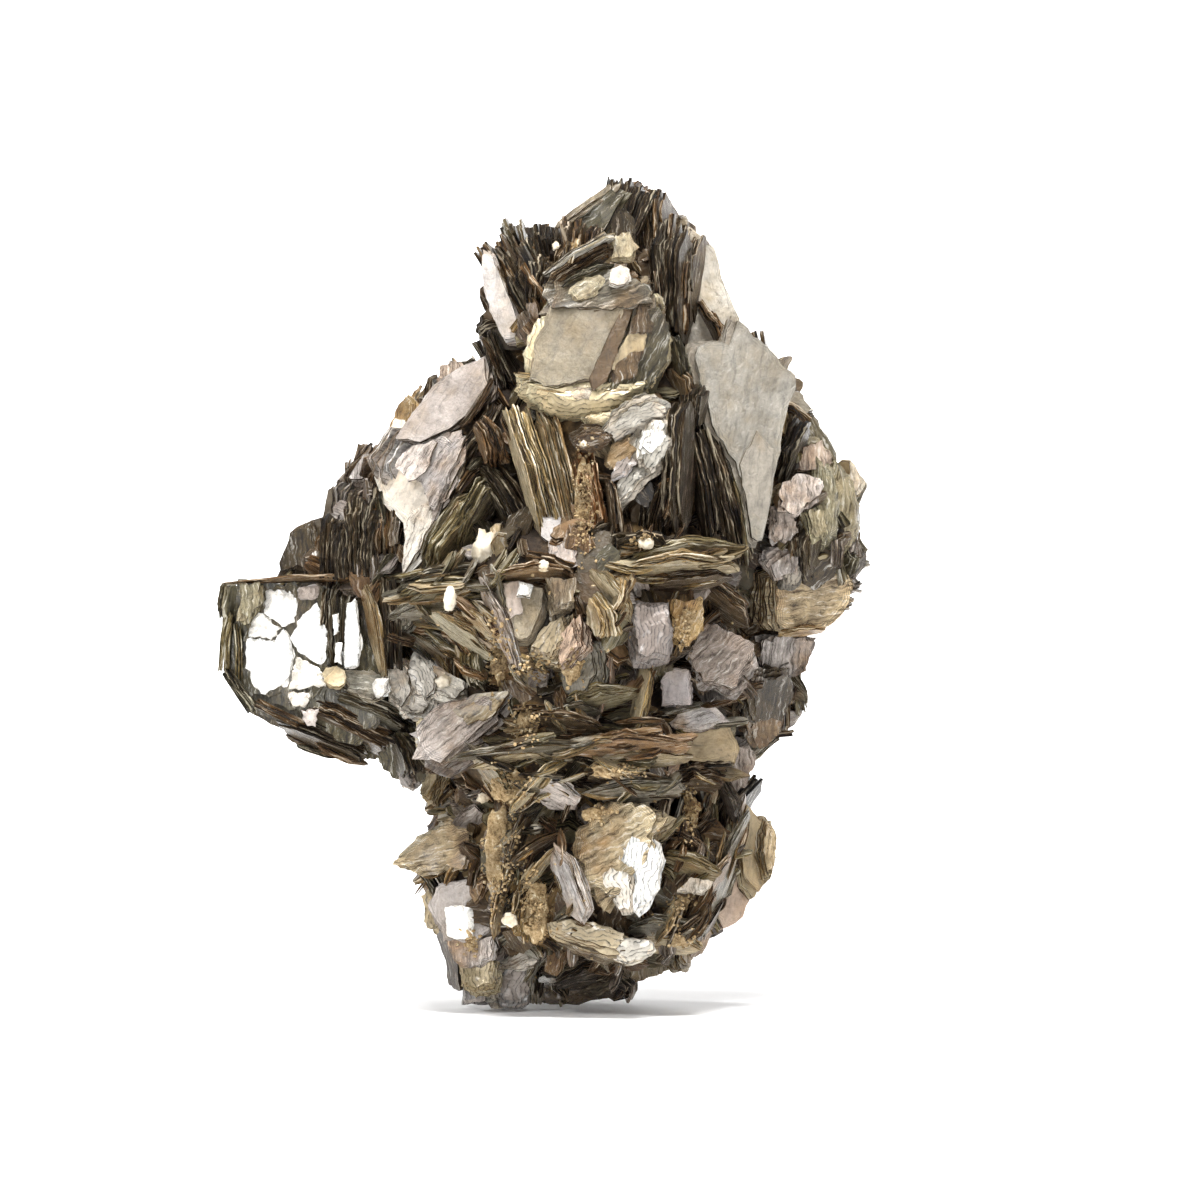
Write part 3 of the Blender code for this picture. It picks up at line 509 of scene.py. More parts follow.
def growBook(bm, name, place, corners, low, high, styleName, toneName, silverSheets=0, coarse=1.0):
    # a book as a stack of separate sheets between two heights of its own frame
    style = {**plainStyle, **styles[styleName]}
    draw = random.Random("book " + name)
    size = max(max(abs(c[0]), abs(c[1])) for c in corners)
    finest, widest = sheets["stepLimits"]
    points, middle = outlineAround(corners, coarse * max(finest, min(widest, size * sheets["step"])))
    thickness = high - low
    count = max(2, round(thickness / style["pitch"]))
    seedPlace = Vector([draw.uniform(-50, 50) for _ in range(3)])
    faceTint, edgeTint = (linear(c) for c in tones[toneName])
    bookShade = draw.uniform(*sheets["bookShade"])
    spaceLayer = bm.verts.layers.float_vector["bookSpace"]
    faceLayer = bm.verts.layers.float_color["faceTint"]
    edgeLayer = bm.verts.layers.float_color["edgeTint"]
    rimLayer = bm.verts.layers.float["rimDistance"]
    packetScale, packetShift = 1.0, Vector((0, 0))
    cutWay, cutReach = None, 0.0
    half = max(1.0, max(abs(p.x) for p in points))
    for k in range(count):
        share = (k + 0.5) / count
        if k % style["packet"] == 0:
            packetScale = 1 + draw.uniform(-style["ledge"], style["ledge"] * 0.5)
            packetShift = Vector((draw.uniform(-1, 1), draw.uniform(-1, 1)))
            packetShift = packetShift * style["ledge"] * half * sheets["packetShift"]
            cutWay = None
            if draw.random() < style["broken"] * share:
                turn = draw.uniform(0, 2 * pi)
                cutWay, cutReach = Vector((cos(turn), sin(turn))), half * draw.uniform(*sheets["breakAt"])
        scale = packetScale * (1 + draw.uniform(-sheets["ledgeSway"], sheets["ledgeSway"]) * style["ledge"])
        scale *= 1 - style["shrink"] * share ** 2
        bottom = low + thickness * k / count
        top = low + thickness * (k + 1 - draw.choice(sheets["gaps"]) * style["gap"]) / count
        sheetShade = bookShade * draw.uniform(*sheets["sheetShade"])
        warm = draw.uniform(*sheets["warmth"])
        hue = (1 + warm, 1, 1 - warm)
        faceColour = [c * sheetShade * h for c, h in zip(faceTint, hue)] + [1]
        edgeShade = sheetShade * draw.uniform(*sheets["edgeShade"])
        edgeColour = [c * edgeShade * h for c, h in zip(edgeTint, hue)] + [1]
        detailed = share > sheets["ringsAbove"] and coarse < sheets["ringsUpTo"]
        rings = style["rings"] if detailed else 0
        form, spots = sheetForm(len(points), rings)
        first = len(bm.verts)
        bm.from_mesh(form)
        bm.verts.ensure_lookup_table()
        rims = []
        for point in points:
            wave = Vector((point.x, point.y, k * sheets["waveStep"])) * sheets["rimWaves"] + seedPlace
            chip = Vector((point.x, point.y, k * sheets["chipStep"])) * sheets["chipWaves"] - seedPlace
            turn = atan2(point.y - middle.y, point.x - middle.x)
            lobeAt = turn * sheets["lobes"] + seedPlace.x + k * sheets["lobeTurn"]
            lobes = 1 - style["scallop"] * abs(sin(lobeAt))
            frayed = 1 + style["fray"] * 2 * noise.noise(wave)
            rim = (point - middle) * scale * lobes * frayed + packetShift
            rim += Vector((cos(turn), sin(turn))) * style["chip"] * noise.noise(chip)
            if cutWay and rim.dot(cutWay) > cutReach:
                rim -= cutWay * (rim.dot(cutWay) - cutReach) * sheets["breakCut"]
            rims.append(rim)
        for vertex, (corner, reach, isTop) in zip(bm.verts[first:], spots):
            flat = middle + packetShift + (rims[corner] - packetShift) * reach
            height = top if isTop else bottom
            along = flat.x / half
            lift = height * (1 - style["taper"] * min(1, along * along))
            spread = max(0, along - sheets["splayFrom"])
            lift += style["splay"] * (height - (low + high) / 2) * spread ** 2
            lift += style["bend"] * half * along * along
            swell = Vector((flat.x, flat.y, k * style["fan"])) * style["rippleScale"] + seedPlace
            swell = noise.noise(swell)
            lift += style["ripple"] * 2 * swell
            lift += style["curl"] * reach ** 4 * (sheets["curlShare"] + swell)
            vertex.co = place @ Vector((flat.x, flat.y, lift)) * mm
            vertex.co.z = max(vertex.co.z, 0)
            vertex[spaceLayer] = Vector((flat.x, flat.y, height)) + seedPlace
            vertex[faceLayer] = faceColour
            vertex[edgeLayer] = edgeColour
            inward = (1 - reach) * (rims[corner] - packetShift).length
            deep = sheets["deepRim"] if reach < sheets["innerReach"] or not rings else 0
            vertex[rimLayer] = max(inward, deep) if rings else deep
        faces = silverSlot if count - k <= silverSheets else style["faces"]
        if faces != flakeSlot:
            bm.faces.ensure_lookup_table()
            for face in bm.faces[-len(form.polygons):]:
                if face.material_index == flakeSlot:
                    face.material_index = faces


def newPieceMesh():
    bm = bmesh.new()
    bm.verts.layers.float_vector.new("bookSpace")
    bm.verts.layers.float_color.new("faceTint")
    bm.verts.layers.float_color.new("edgeTint")
    bm.verts.layers.float.new("rimDistance")
    return bm


def paint(bm, slot):
    for face in bm.faces:
        face.material_index = slot


def lumpy(point, shift, waves):
    size = 1
    for scale, height in waves:
        size += height * noise.noise(point * scale + shift)
    return size


def finishPiece(bm, name, smoothAngle=35):
    mesh = meshOf(bm, name)
    for material in materials:
        mesh.materials.append(material)
    mesh.set_sharp_from_angle(angle=radians(smoothAngle))
    piece = putInScene(name, mesh)
    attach(piece, "root")
    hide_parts(node)
    pieceNames.append(name)
    triangles = sum(len(p.vertices) - 2 for p in mesh.polygons)
    print(f"{name}: {triangles} triangles")


calmOutlines = []  # where a book already shows from the front, so that small blades keep off it


def seat(spot, proud):
    # a spot's third number is its depth, and without one it is the skin's: it stands proud of that
    x, z = spot[:2]
    depth = spot[2] if len(spot) > 2 else skinDepth(x, z)
    return Vector((x, depth - proud, z))


def addPlate(bm, name, spot, proud, looks, thickness, outline, tone, style="slab", runs=(0, 1), silver=0):
    # a book seen on the flat, with its outline drawn as it shows from the front
    calmOutlines.append(outline)
    centre, normal = seat(spot, proud), fromFront(*looks)
    place = bookFrame(centre, normal, fromFront(*runs, 0))
    inverse = place.inverted()
    corners = []
    for cornerX, cornerZ in outline:
        lean = (cornerX - centre.x) * normal.x + (cornerZ - centre.z) * normal.z
        corners.append(tuple((inverse @ Vector((cornerX, centre.y - lean / normal.y, cornerZ)))[:2]))
    growBook(bm, name, place, corners, -thickness, 0, style, tone, silver)


# shares of a stack's own size: how deep it is set, and how much of it small blades keep off
stacked = {"setBack": 0.2, "calmAlong": 0.38, "calmAcross": 0.25}


def addStack(bm, name, spot, proud, runs, toward, size, pointed, tone, style="stack"):
    # a book seen edge on, its sheets running the given way
    (right, up), (length, depth, thickness) = runs, size
    centre = seat(spot, proud) + Vector((0, depth * stacked["setBack"], 0))
    place = bookFrame(centre, fromFront(up, -right, toward), fromFront(right, up, 0))
    corners = raggedCorners(name, length, depth, 6, pointed)
    along = Vector((right, up)).normalized() * length * stacked["calmAlong"]
    across = Vector((along.y, -along.x)).normalized() * thickness * stacked["calmAcross"]
    middle = Vector(spot[:2])
    around = ((-1, -1), (1, -1), (1, 1), (-1, 1))
    calmOutlines.append([tuple(middle + a * along + b * across) for a, b in around])
    growBook(bm, name, place, corners, -thickness / 2, thickness / 2, style, tone)


def addCurl(bm, name, spot, proud, looks, runs, size, tone, style="curl"):
    # a book with a rounded, scalloped rim
    length, width, thickness = size
    place = bookFrame(seat(spot, proud), fromFront(*looks), fromFront(*runs, 0))
    corners = raggedCorners(name, length, width, 8, 0)
    calmOutlines.append([tuple((place @ Vector((*c, 0))).xz) for c in corners])
    growBook(bm, name, place, corners, -thickness, 0, style, tone)


def growPiece(name, plates=(), stacks=(), curls=()):
    bm = newPieceMesh()
    for row in plates:
        addPlate(bm, *row)
    for row in stacks:
        addStack(bm, *row)
    for row in curls:
        addCurl(bm, *row)
    finishPiece(bm, name)


# the dark pointed top: laminae on edge, with a pale slab down its right side
crown = {
    "plates": [
        ("lilac", (-8, 127, 0), 8.5, (-0.2, 0.1, 0.97), 4,
         [(-11.5, 136.3), (-9.3, 135.4), (-7.2, 130), (-4.6, 123.5), (-4.2, 119.5), (-7, 119.3), (-9.5, 124),
          (-11.3, 130)], "lilac"),
        ("crest slab", (31, 131, 3), 2.5, (0.35, 0.1, 0.93), 5,
         [(26, 141), (27.5, 139.8), (30.8, 136.8), (32.3, 131.8), (35.7, 124), (36, 118), (30, 118),
          (25, 117), (25, 122), (26.5, 131), (24.5, 139)], "pearl", "slab", (0.35, -0.93)),
        ("peak lip", (8, 143.6, -8.5), 0, (-0.3, 0.5, 0.85), 0.9,
         [(1.6, 139.4), (2.4, 141), (7, 144.8), (12.4, 148.6), (14.4, 148.6), (12, 146.8), (7, 143)], "clay",
         "ragged", (0.82, 0.57)),
        ("peak flank", (8, 140.5, -8), 0, (-0.3, 0.2, 0.93), 1.2,
         [(2, 138.6), (6.5, 143.4), (12.5, 147.6), (14, 146), (9, 137), (4.6, 136)], "moss", "ragged",
         (0.75, 0.66)),
        ("peak face", (13, 141, -8.6), 0, (-0.1, -0.05, 0.98), 1.4,
         [(7.5, 136.5), (8.5, 139.5), (12.5, 143.8), (15.5, 143), (17.5, 136.5)], "ink", "ragged"),
    ],
    "stacks": [
        ("peak left", (9, 138.5), 1, (0.62, 0.8), 0.2, (13, 12, 5), 0.2, "umber"),
        ("peak", (14, 139.5), 2, (0.3, 1), 0.2, (16.5, 13, 8), 0.25, "ink"),
        ("peak right", (20, 137.5), 1, (-0.15, 1), 0.3, (18, 12, 6), 0.1, "umber"),
        ("peak back", (16, 142), -1, (0.55, 0.85), 0.5, (13, 12, 5), 0.3, "brown", "ragged"),
        ("left spike", (-4, 135.5), 2, (-0.35, 1), 0.2, (14, 9, 3), 0.6, "slate", "ragged"),
        ("left comb", (-6, 130.5), 3, (-0.5, 0.86), 0.2, (15, 11, 5), 0.1, "umber"),
        ("left comb inner", (-3, 128.5), 4, (-0.45, 0.9), 0.25, (11, 9, 3), 0.2, "ink"),
        ("middle comb", (2, 135), 2, (-0.2, 1), 0.2, (12, 10, 6), 0.1, "ink", "ragged"),
        ("middle comb right", (7, 135), 1, (0.05, 1), 0.2, (12, 10, 5), 0.1, "umber", "ragged"),
        ("middle comb low", (0.5, 130.5), 3, (0.1, 1), 0.2, (9, 9, 6), 0.1, "ink", "ragged"),
        ("right comb", (22.7, 130), 5, (0.0, 1), 0.3, (21, 11, 5.5), 0.1, "ink"),
        ("right comb outer", (26.6, 130.5), 5, (0.08, 1), 0.4, (18, 9, 3), 0.2, "umber"),
        ("right comb foot", (29.8, 123), 6.5, (0.5, -0.85), 0.3, (9, 7, 1.6), 0.3, "umber", "ragged"),
        ("right comb tip", (31, 121.5), 7, (0.35, -0.94), 0.3, (8, 6, 1.4), 0.4, "brown", "blade"),
    ],
    "curls": [
        ("crest knob", (25, 141.3), 3, (0.2, 0.3, 0.93), (0.2, 1), (5, 3.6, 4), "fawn"),
    ],
}
growPiece("crown", **crown)

# the big cream book above the middle: a smooth face, a dark groove and a terraced lip all round
cap = {
    "plates": [
        ("cap", (5, 118, -26.3), 0, (-0.12, 0.15, 0.98), 10,
         [(-3.6, 112), (-2.4, 119), (0.6, 126), (1.6, 127.4), (5.5, 127.8), (15.9, 127), (13, 121),
          (8.8, 112.2), (2, 110.4)], "fawn", "slab", (0.45, 0.9)),
        ("cap brow", (9, 129.5, -24.6), 0, (0, 0.45, 0.9), 5,
         [(0.5, 126), (1.5, 130.8), (7, 133), (13, 133.5), (18.5, 129.5), (20, 126), (14, 125.5)], "fawn",
         "ragged", (1, 0.3)),
        ("cap groove", (12.5, 119, -27.6), 0, (0.2, 0.1, 0.98), 1.2,
         [(16.3, 126.8), (14.3, 126.8), (8, 113.2), (8.6, 110.8), (10.9, 112.4)], "umber", "sheet"),
        ("cap left", (-2.4, 118, -24.6), 0, (-0.45, 0.05, 0.88), 6,
         [(-5, 111), (-5.2, 117), (-3.8, 122), (-1.2, 126), (2.4, 127), (0, 119), (-1.6, 111)], "butter",
         "lip", (0.15, 1)),
        ("cap lip", (6.5, 107.6, -27.2), 0, (0, -0.42, 0.9), 6,
         [(-5, 111.5), (-5, 108.5), (-2.6, 105.4), (2, 103.6), (8, 103), (12, 104.4), (16, 107), (20, 109),
          (20.5, 111.5), (14, 111.8), (8, 112), (1, 111)], "butter", "lip", (1, 0.05)),
        ("cap flank", (20.8, 118, -24), 0, (0.5, 0, 0.85), 6,
         [(17.5, 109.5), (21.4, 110.5), (24, 115), (24.2, 120), (22.6, 125), (19.6, 128.4), (18, 127),
          (20.4, 119)], "olive", "rim", (0.05, 1)),
        ("cap right", (16.5, 118.5, -25.6), 0, (0.3, 0.02, 0.95), 8,
         [(15.5, 127), (19.5, 127), (22.3, 122), (22, 116), (19, 110.5), (10.5, 110), (10, 113)], "moss",
         "ragged", (0.45, 0.9)),
        ("cap patch", (16.5, 121, -26.2), 0, (0.25, 0.05, 0.97), 0.8,
         [(12.6, 117), (15.6, 121.6), (18.3, 121.4), (18, 118.5), (14.5, 114.8), (12, 114.5)], "tan",
         "sheet"),
        ("cap patch top", (17.6, 123.4, -26.6), 0, (0.3, 0.05, 0.95), 0.8,
         [(15.4, 121), (16.8, 126), (19.6, 126), (19.4, 121)], "umber", "ragged"),
        ("cap patch dark", (14.3, 114.5, -27), 0, (0.2, 0, 0.98), 0.8,
         [(11.3, 112), (12.4, 115.5), (15.5, 118.3), (17.5, 118), (15.8, 113)], "umber", "ragged"),
        ("cap bright", (13.4, 131.3, -26.2), 0, (0.05, 0.3, 0.95), 2.2,
         [(11.6, 129.9), (11.9, 132.4), (13.6, 133), (15, 132.4), (15.4, 130.6), (13.7, 129.4)], "bone",
         "sheet", (0, 1), 2),
        ("cap top bit", (14.5, 136.5, -22.5), 0, (0.1, 0.3, 0.94), 2,
         [(12, 134.2), (12.6, 138.4), (15, 139.2), (16.6, 136.5), (15.5, 134)], "cream", "ragged"),
    ],
    "stacks": [
        ("cap stack", (6.3, 132.8, -22), 0, (0.86, 0.51), 0.2, (13.5, 8, 2.8), 0.1, "umber", "blade"),
        ("cap stack lip", (6.2, 134.9, -24), 0, (0.87, 0.5), 0.2, (14.5, 8, 0.9), 0.1, "pearl"),
        ("cap stack low", (7.5, 131, -23.5), 0, (0.9, 0.42), 0.4, (10, 7, 1.6), 0.3, "moss", "blade"),
    ],
    "curls": [
        ("cap cream", (7.5, 128.8, -26.6), 0, (0, 0.1, 0.99), (0.87, 0.48), (7.6, 4.2, 1.4), "cream"),
        ("cap lip top", (6.8, 110, -28.4), 0, (0, -0.1, 0.99), (1, 0.12), (6.4, 3, 1.4), "pearl"),
        ("cap knob low", (15.8, 129.2, -25), 0, (0.2, 0.4, 0.86), (0.3, 1), (3, 2.4, 3), "umber"),
        ("cap knob mid", (20.6, 127, -22.6), 0, (0.3, 0.3, 0.86), (-0.3, 1), (4, 3, 3), "olive"),
        ("cap knob", (18.4, 128.8, -22), 0, (0.3, 0.4, 0.86), (-0.3, 1), (5, 4, 4), "slate"),
    ],
}
growPiece("capBook", **cap)

# the tall pale slab on the right, with dark books along its left edge
rightSlab = {
    "plates": [
        ("right slab", (34, 106, -17.6), 0, (0.36, 0.12, 0.92), 6,
         [(25.3, 119.8), (29.5, 121), (32.5, 120.5), (34, 125), (36, 123.5), (40.6, 118.6), (46, 113.3),
          (44.8, 111), (43.4, 106.6), (42.4, 101), (41, 94), (40, 88), (38.5, 83), (36.8, 82), (35.7, 90.5),
          (33.2, 98.6), (29.2, 104.7), (26.8, 113.3)], "stone", "slab", (0.2, 1)),
        ("right slab sheen", (37, 92, -18.6), 0, (0.33, 0.02, 0.94), 0.8,
         [(34.8, 98), (38, 104), (41, 101), (40.2, 90), (39, 84.5), (37.2, 84)], "stone", "sheet", (0.1, 1)),
    ],
    "stacks": [
        ("cavity post", (24, 97), 5, (0.05, 1), 0.3, (24, 11, 3.4), 0.2, "ink"),
        ("arc", (32, 93), 6, (0.3, -1), 0.15, (25, 11, 3), 0.4, "ink"),
        ("arc inner", (28.8, 94.5), 4.5, (0.22, -1), 0.2, (21, 10, 4), 0.3, "ink"),
        ("arc rim", (34.3, 89.5), 7.5, (0.22, -1), 0.2, (20, 8, 1), 0.4, "olive", "blade"),
        ("glint book", (26.8, 108, -22), 0, (0.1, 1), 0.35, (8, 7, 3), 0.2, "ink", "ragged"),
        ("olive facet", (23.8, 115.5, -20), 0, (0.2, -0.98), 0.6, (11, 7, 2), 0.3, "moss", "ragged"),
        ("olive facet low", (24.5, 111, -20.5), 0, (0.35, -0.94), 0.5, (9, 7, 2), 0.3, "umber", "ragged"),
    ],
}
growPiece("rightSlab", **rightSlab)

# the scalloped olive rosette on the far right, and the grey plates inside it
rightRosette = {
    "plates": [
        ("wedge", (48, 73), 4, (0.4, -0.1, 0.91), 9,
         [(40, 77.5), (47, 79.5), (55, 79.5), (56.8, 76.5), (55.6, 71.5), (52.5, 68), (49, 66.5),
          (40.4, 67.2)], "tan", "terrace", (1, 0.05)),
        ("wedge shade", (43, 71), 4.8, (0.1, -0.2, 0.97), 2,
         [(39, 75), (43, 75.5), (46, 71), (44.5, 68), (40, 67.5)], "umber", "ragged", (1, 0)),
        ("rim high", (49, 103), 2.5, (0.6, 0.2, 0.77), 6,
         [(44.5, 114), (48, 110), (51.7, 104.4), (54.5, 100.4), (55.5, 96), (51, 95), (47, 100), (44.4, 107)],
         "drab", "rim", (0.5, -0.87)),
        ("rim", (54, 91), 2, (0.62, 0.02, 0.78), 7,
         [(53, 101.5), (56.6, 98), (58.8, 91), (58.4, 84), (56, 79), (51.5, 79), (50.6, 86), (51, 94)],
         "olive", "rim", (0.1, 1)),
        ("rim inner", (50.5, 92), 3.6, (0.45, 0.05, 0.88), 4,
         [(49.5, 101), (53, 98.5), (54.4, 91), (53.6, 83), (50, 80), (47.6, 84), (48.4, 93)], "olive", "rim",
         (0.1, 1)),
        ("flake high", (45.5, 93), 7, (0.3, 0.1, 0.95), 1.6,
         [(42, 90), (42.6, 94.6), (46, 95.8), (50.5, 95), (49, 91.6), (45, 89)], "lilac", "ragged"),
        ("flake top", (48, 99), 6, (0.35, 0.2, 0.9), 1.6,
         [(45.4, 96.8), (46, 101), (49.5, 101.8), (52, 98.6), (50.5, 96.6)], "pink", "ragged"),
        ("flake low", (43.2, 87.3), 6, (0.3, 0, 0.95), 1.6,
         [(40.6, 85), (41.4, 89.8), (44.5, 89.6), (45.6, 86), (43, 83.8)], "mauve", "ragged"),
        ("flake side", (48.5, 87), 4.4, (0.5, 0.1, 0.85), 1.6,
         [(46.5, 90), (50, 90.6), (51, 85), (48, 83.4)], "olive", "ragged"),
        ("flake foot", (43, 80), 6, (0.3, 0.1, 0.95), 2,
         [(39.8, 80), (42, 82.8), (46, 81.6), (45.4, 77.6), (41.4, 77.4)], "mauve", "ragged"),
    ],
    "stacks": [
        ("rosette gap", (44, 100), 3, (0.35, 1), 0.4, (12, 8, 3), 0.3, "ink", "ragged"),
        ("rosette gap low", (47, 82.5), 3, (0.1, 1), 0.4, (10, 8, 3), 0.3, "ink", "ragged"),
        ("rosette gap mid", (46.5, 90), 3, (0.6, 0.8), 0.4, (10, 8, 3), 0.3, "umber", "ragged"),
        ("wedge edge", (46, 67.8, -5), 0, (1, 0.05), 0.3, (8, 6, 1.2), 0.3, "sand", "blade"),
    ],
    "curls": [
        ("clump high", (41.5, 81.5), 5.5, (0.2, 0.2, 0.96), (1, 0), (6, 4, 4), "mauve", "waves"),
        ("clump low", (44.5, 78), 6, (0.3, 0.1, 0.95), (0.3, 1), (5, 4.4, 4), "stone", "waves"),
    ],
}
growPiece("rightRosette", **rightRosette)

# the pale slabs that step down to the left
leftSlabs = {
    "plates": [
        ("left slab", (-18, 109, -14.4), 0, (-0.35, 0.3, 0.88), 5,
         [(-10, 117.8), (-15.3, 115.4), (-20.3, 112), (-24, 106.8), (-27.5, 101.8), (-22.5, 101.5),
          (-16, 104.5), (-12.6, 107.6), (-9.5, 111.5)], "mauve", "slab", (0.5, 0.86)),
        ("left low slab", (-22, 92, -14.6), 0, (-0.42, 0.12, 0.9), 5,
         [(-12.8, 104), (-14.5, 99), (-16.6, 93.5), (-18.6, 88), (-21.4, 81), (-25.6, 76), (-25.2, 82),
          (-25.2, 87.6), (-29, 91), (-31, 96), (-28.5, 101), (-20, 103)], "bone", "slab", (0.62, 0.78)),
        ("left terrace", (-19, 98, -16.4), 0, (-0.38, 0.15, 0.9), 1.6,
         [(-13.2, 103.4), (-15, 98), (-17.4, 92), (-20, 88.5), (-22, 94.5), (-26, 98), (-23, 102)], "ash",
         "ragged", (0.62, 0.78)),
        ("left terrace pale", (-22.5, 98.5, -16.2), 0, (-0.4, 0.2, 0.88), 0.8,
         [(-19.5, 102), (-20, 97.6), (-24, 94.5), (-27, 97), (-25.5, 100.5)], "lilac", "ragged",
         (0.62, 0.78)),
        ("left terrace low", (-23, 85, -15.6), 0, (-0.42, 0.1, 0.9), 1,
         [(-19.6, 91), (-19.8, 86.5), (-23.5, 79.5), (-25.2, 77.5), (-24.6, 86.5), (-23.5, 90)], "bone",
         "ragged", (0.4, 0.92)),
        ("step low", (-31, 98), 1.5, (-0.4, 0.4, 0.83), 5,
         [(-35.5, 95), (-33.5, 98.6), (-29, 101), (-26, 101), (-27, 96), (-31, 93.5)], "mauve", "ragged"),
        ("step high", (-25.5, 105.5, -6), 0, (-0.5, 0.2, 0.84), 4,
         [(-28.6, 103), (-27, 107.6), (-24.6, 109.8), (-22.4, 108.5), (-22.4, 105.5), (-26, 102)], "sand",
         "ragged"),
        ("step bright", (-26.4, 104.6, -8), 0, (-0.2, 0.2, 0.95), 1,
         [(-28, 103.6), (-26.8, 106.2), (-25, 105.8), (-25.2, 103.4)], "pearl", "sheet"),
        ("slab bits", (-17.5, 114.8, -11), 0, (-0.5, 0.4, 0.76), 3,
         [(-19.6, 112.8), (-18.4, 115.6), (-15.4, 116.6), (-14.2, 114.5)], "pink", "ragged"),
    ],
    "stacks": [
        ("left edge", (-6.6, 114), 4, (-0.5, 0.86), 0.2, (15, 11, 4), 0.2, "ink"),
        ("left edge low", (-12.4, 103.5, -16), 0, (-0.5, -0.86), 0.2, (13, 9, 3), 0.3, "ink", "ragged"),
        ("slab rim", (-12.2, 108.8, -16.6), 0, (-0.55, -0.83), 0.2, (11, 7, 1.2), 0.3, "umber", "blade"),
        ("wedge dark", (-15.6, 94.5, -15.8), 0, (-0.4, -0.92), 0.1, (15, 8, 2.6), 0.5, "ink", "lens"),
        ("olive fan", (-15.4, 86.5), 6.5, (0.62, 0.78), 0.35, (18, 12, 4), 0.2, "olive"),
        ("olive fan outer", (-19, 81.5), 7, (0.6, 0.8), 0.35, (12, 10, 3), 0.3, "grey"),
        ("olive fan inner", (-12.2, 89), 6, (0.5, 0.86), 0.35, (14, 10, 3), 0.2, "olive"),
        ("flat fan", (-17, 78), 7.5, (0.97, 0.2), 0.3, (17, 12, 2.4), 0.3, "slate", "blade"),
        ("flat fan low", (-17.5, 75.5), 7.5, (1, 0.1), 0.35, (17, 12, 2), 0.3, "olive", "blade"),
        ("step blade", (-33, 97.5), 2, (0.75, 0.66), 0.5, (8, 6, 1.2), 0.4, "umber", "blade"),
        ("step spike", (-20.4, 110.8), 0.5, (0.2, 1), 0.4, (7, 5, 1.2), 0.4, "umber", "blade"),
    ],
    "curls": [
        ("step curl", (-32, 95.5), 2.4, (-0.3, 0.3, 0.9), (1, 0.3), (7, 4, 3), "pink"),
        ("step curl low", (-34.5, 91.5), 3, (-0.3, 0.3, 0.9), (0.9, 0.4), (5, 3.6, 3), "mauve"),
    ],
}
growPiece("leftSlabs", **leftSlabs)

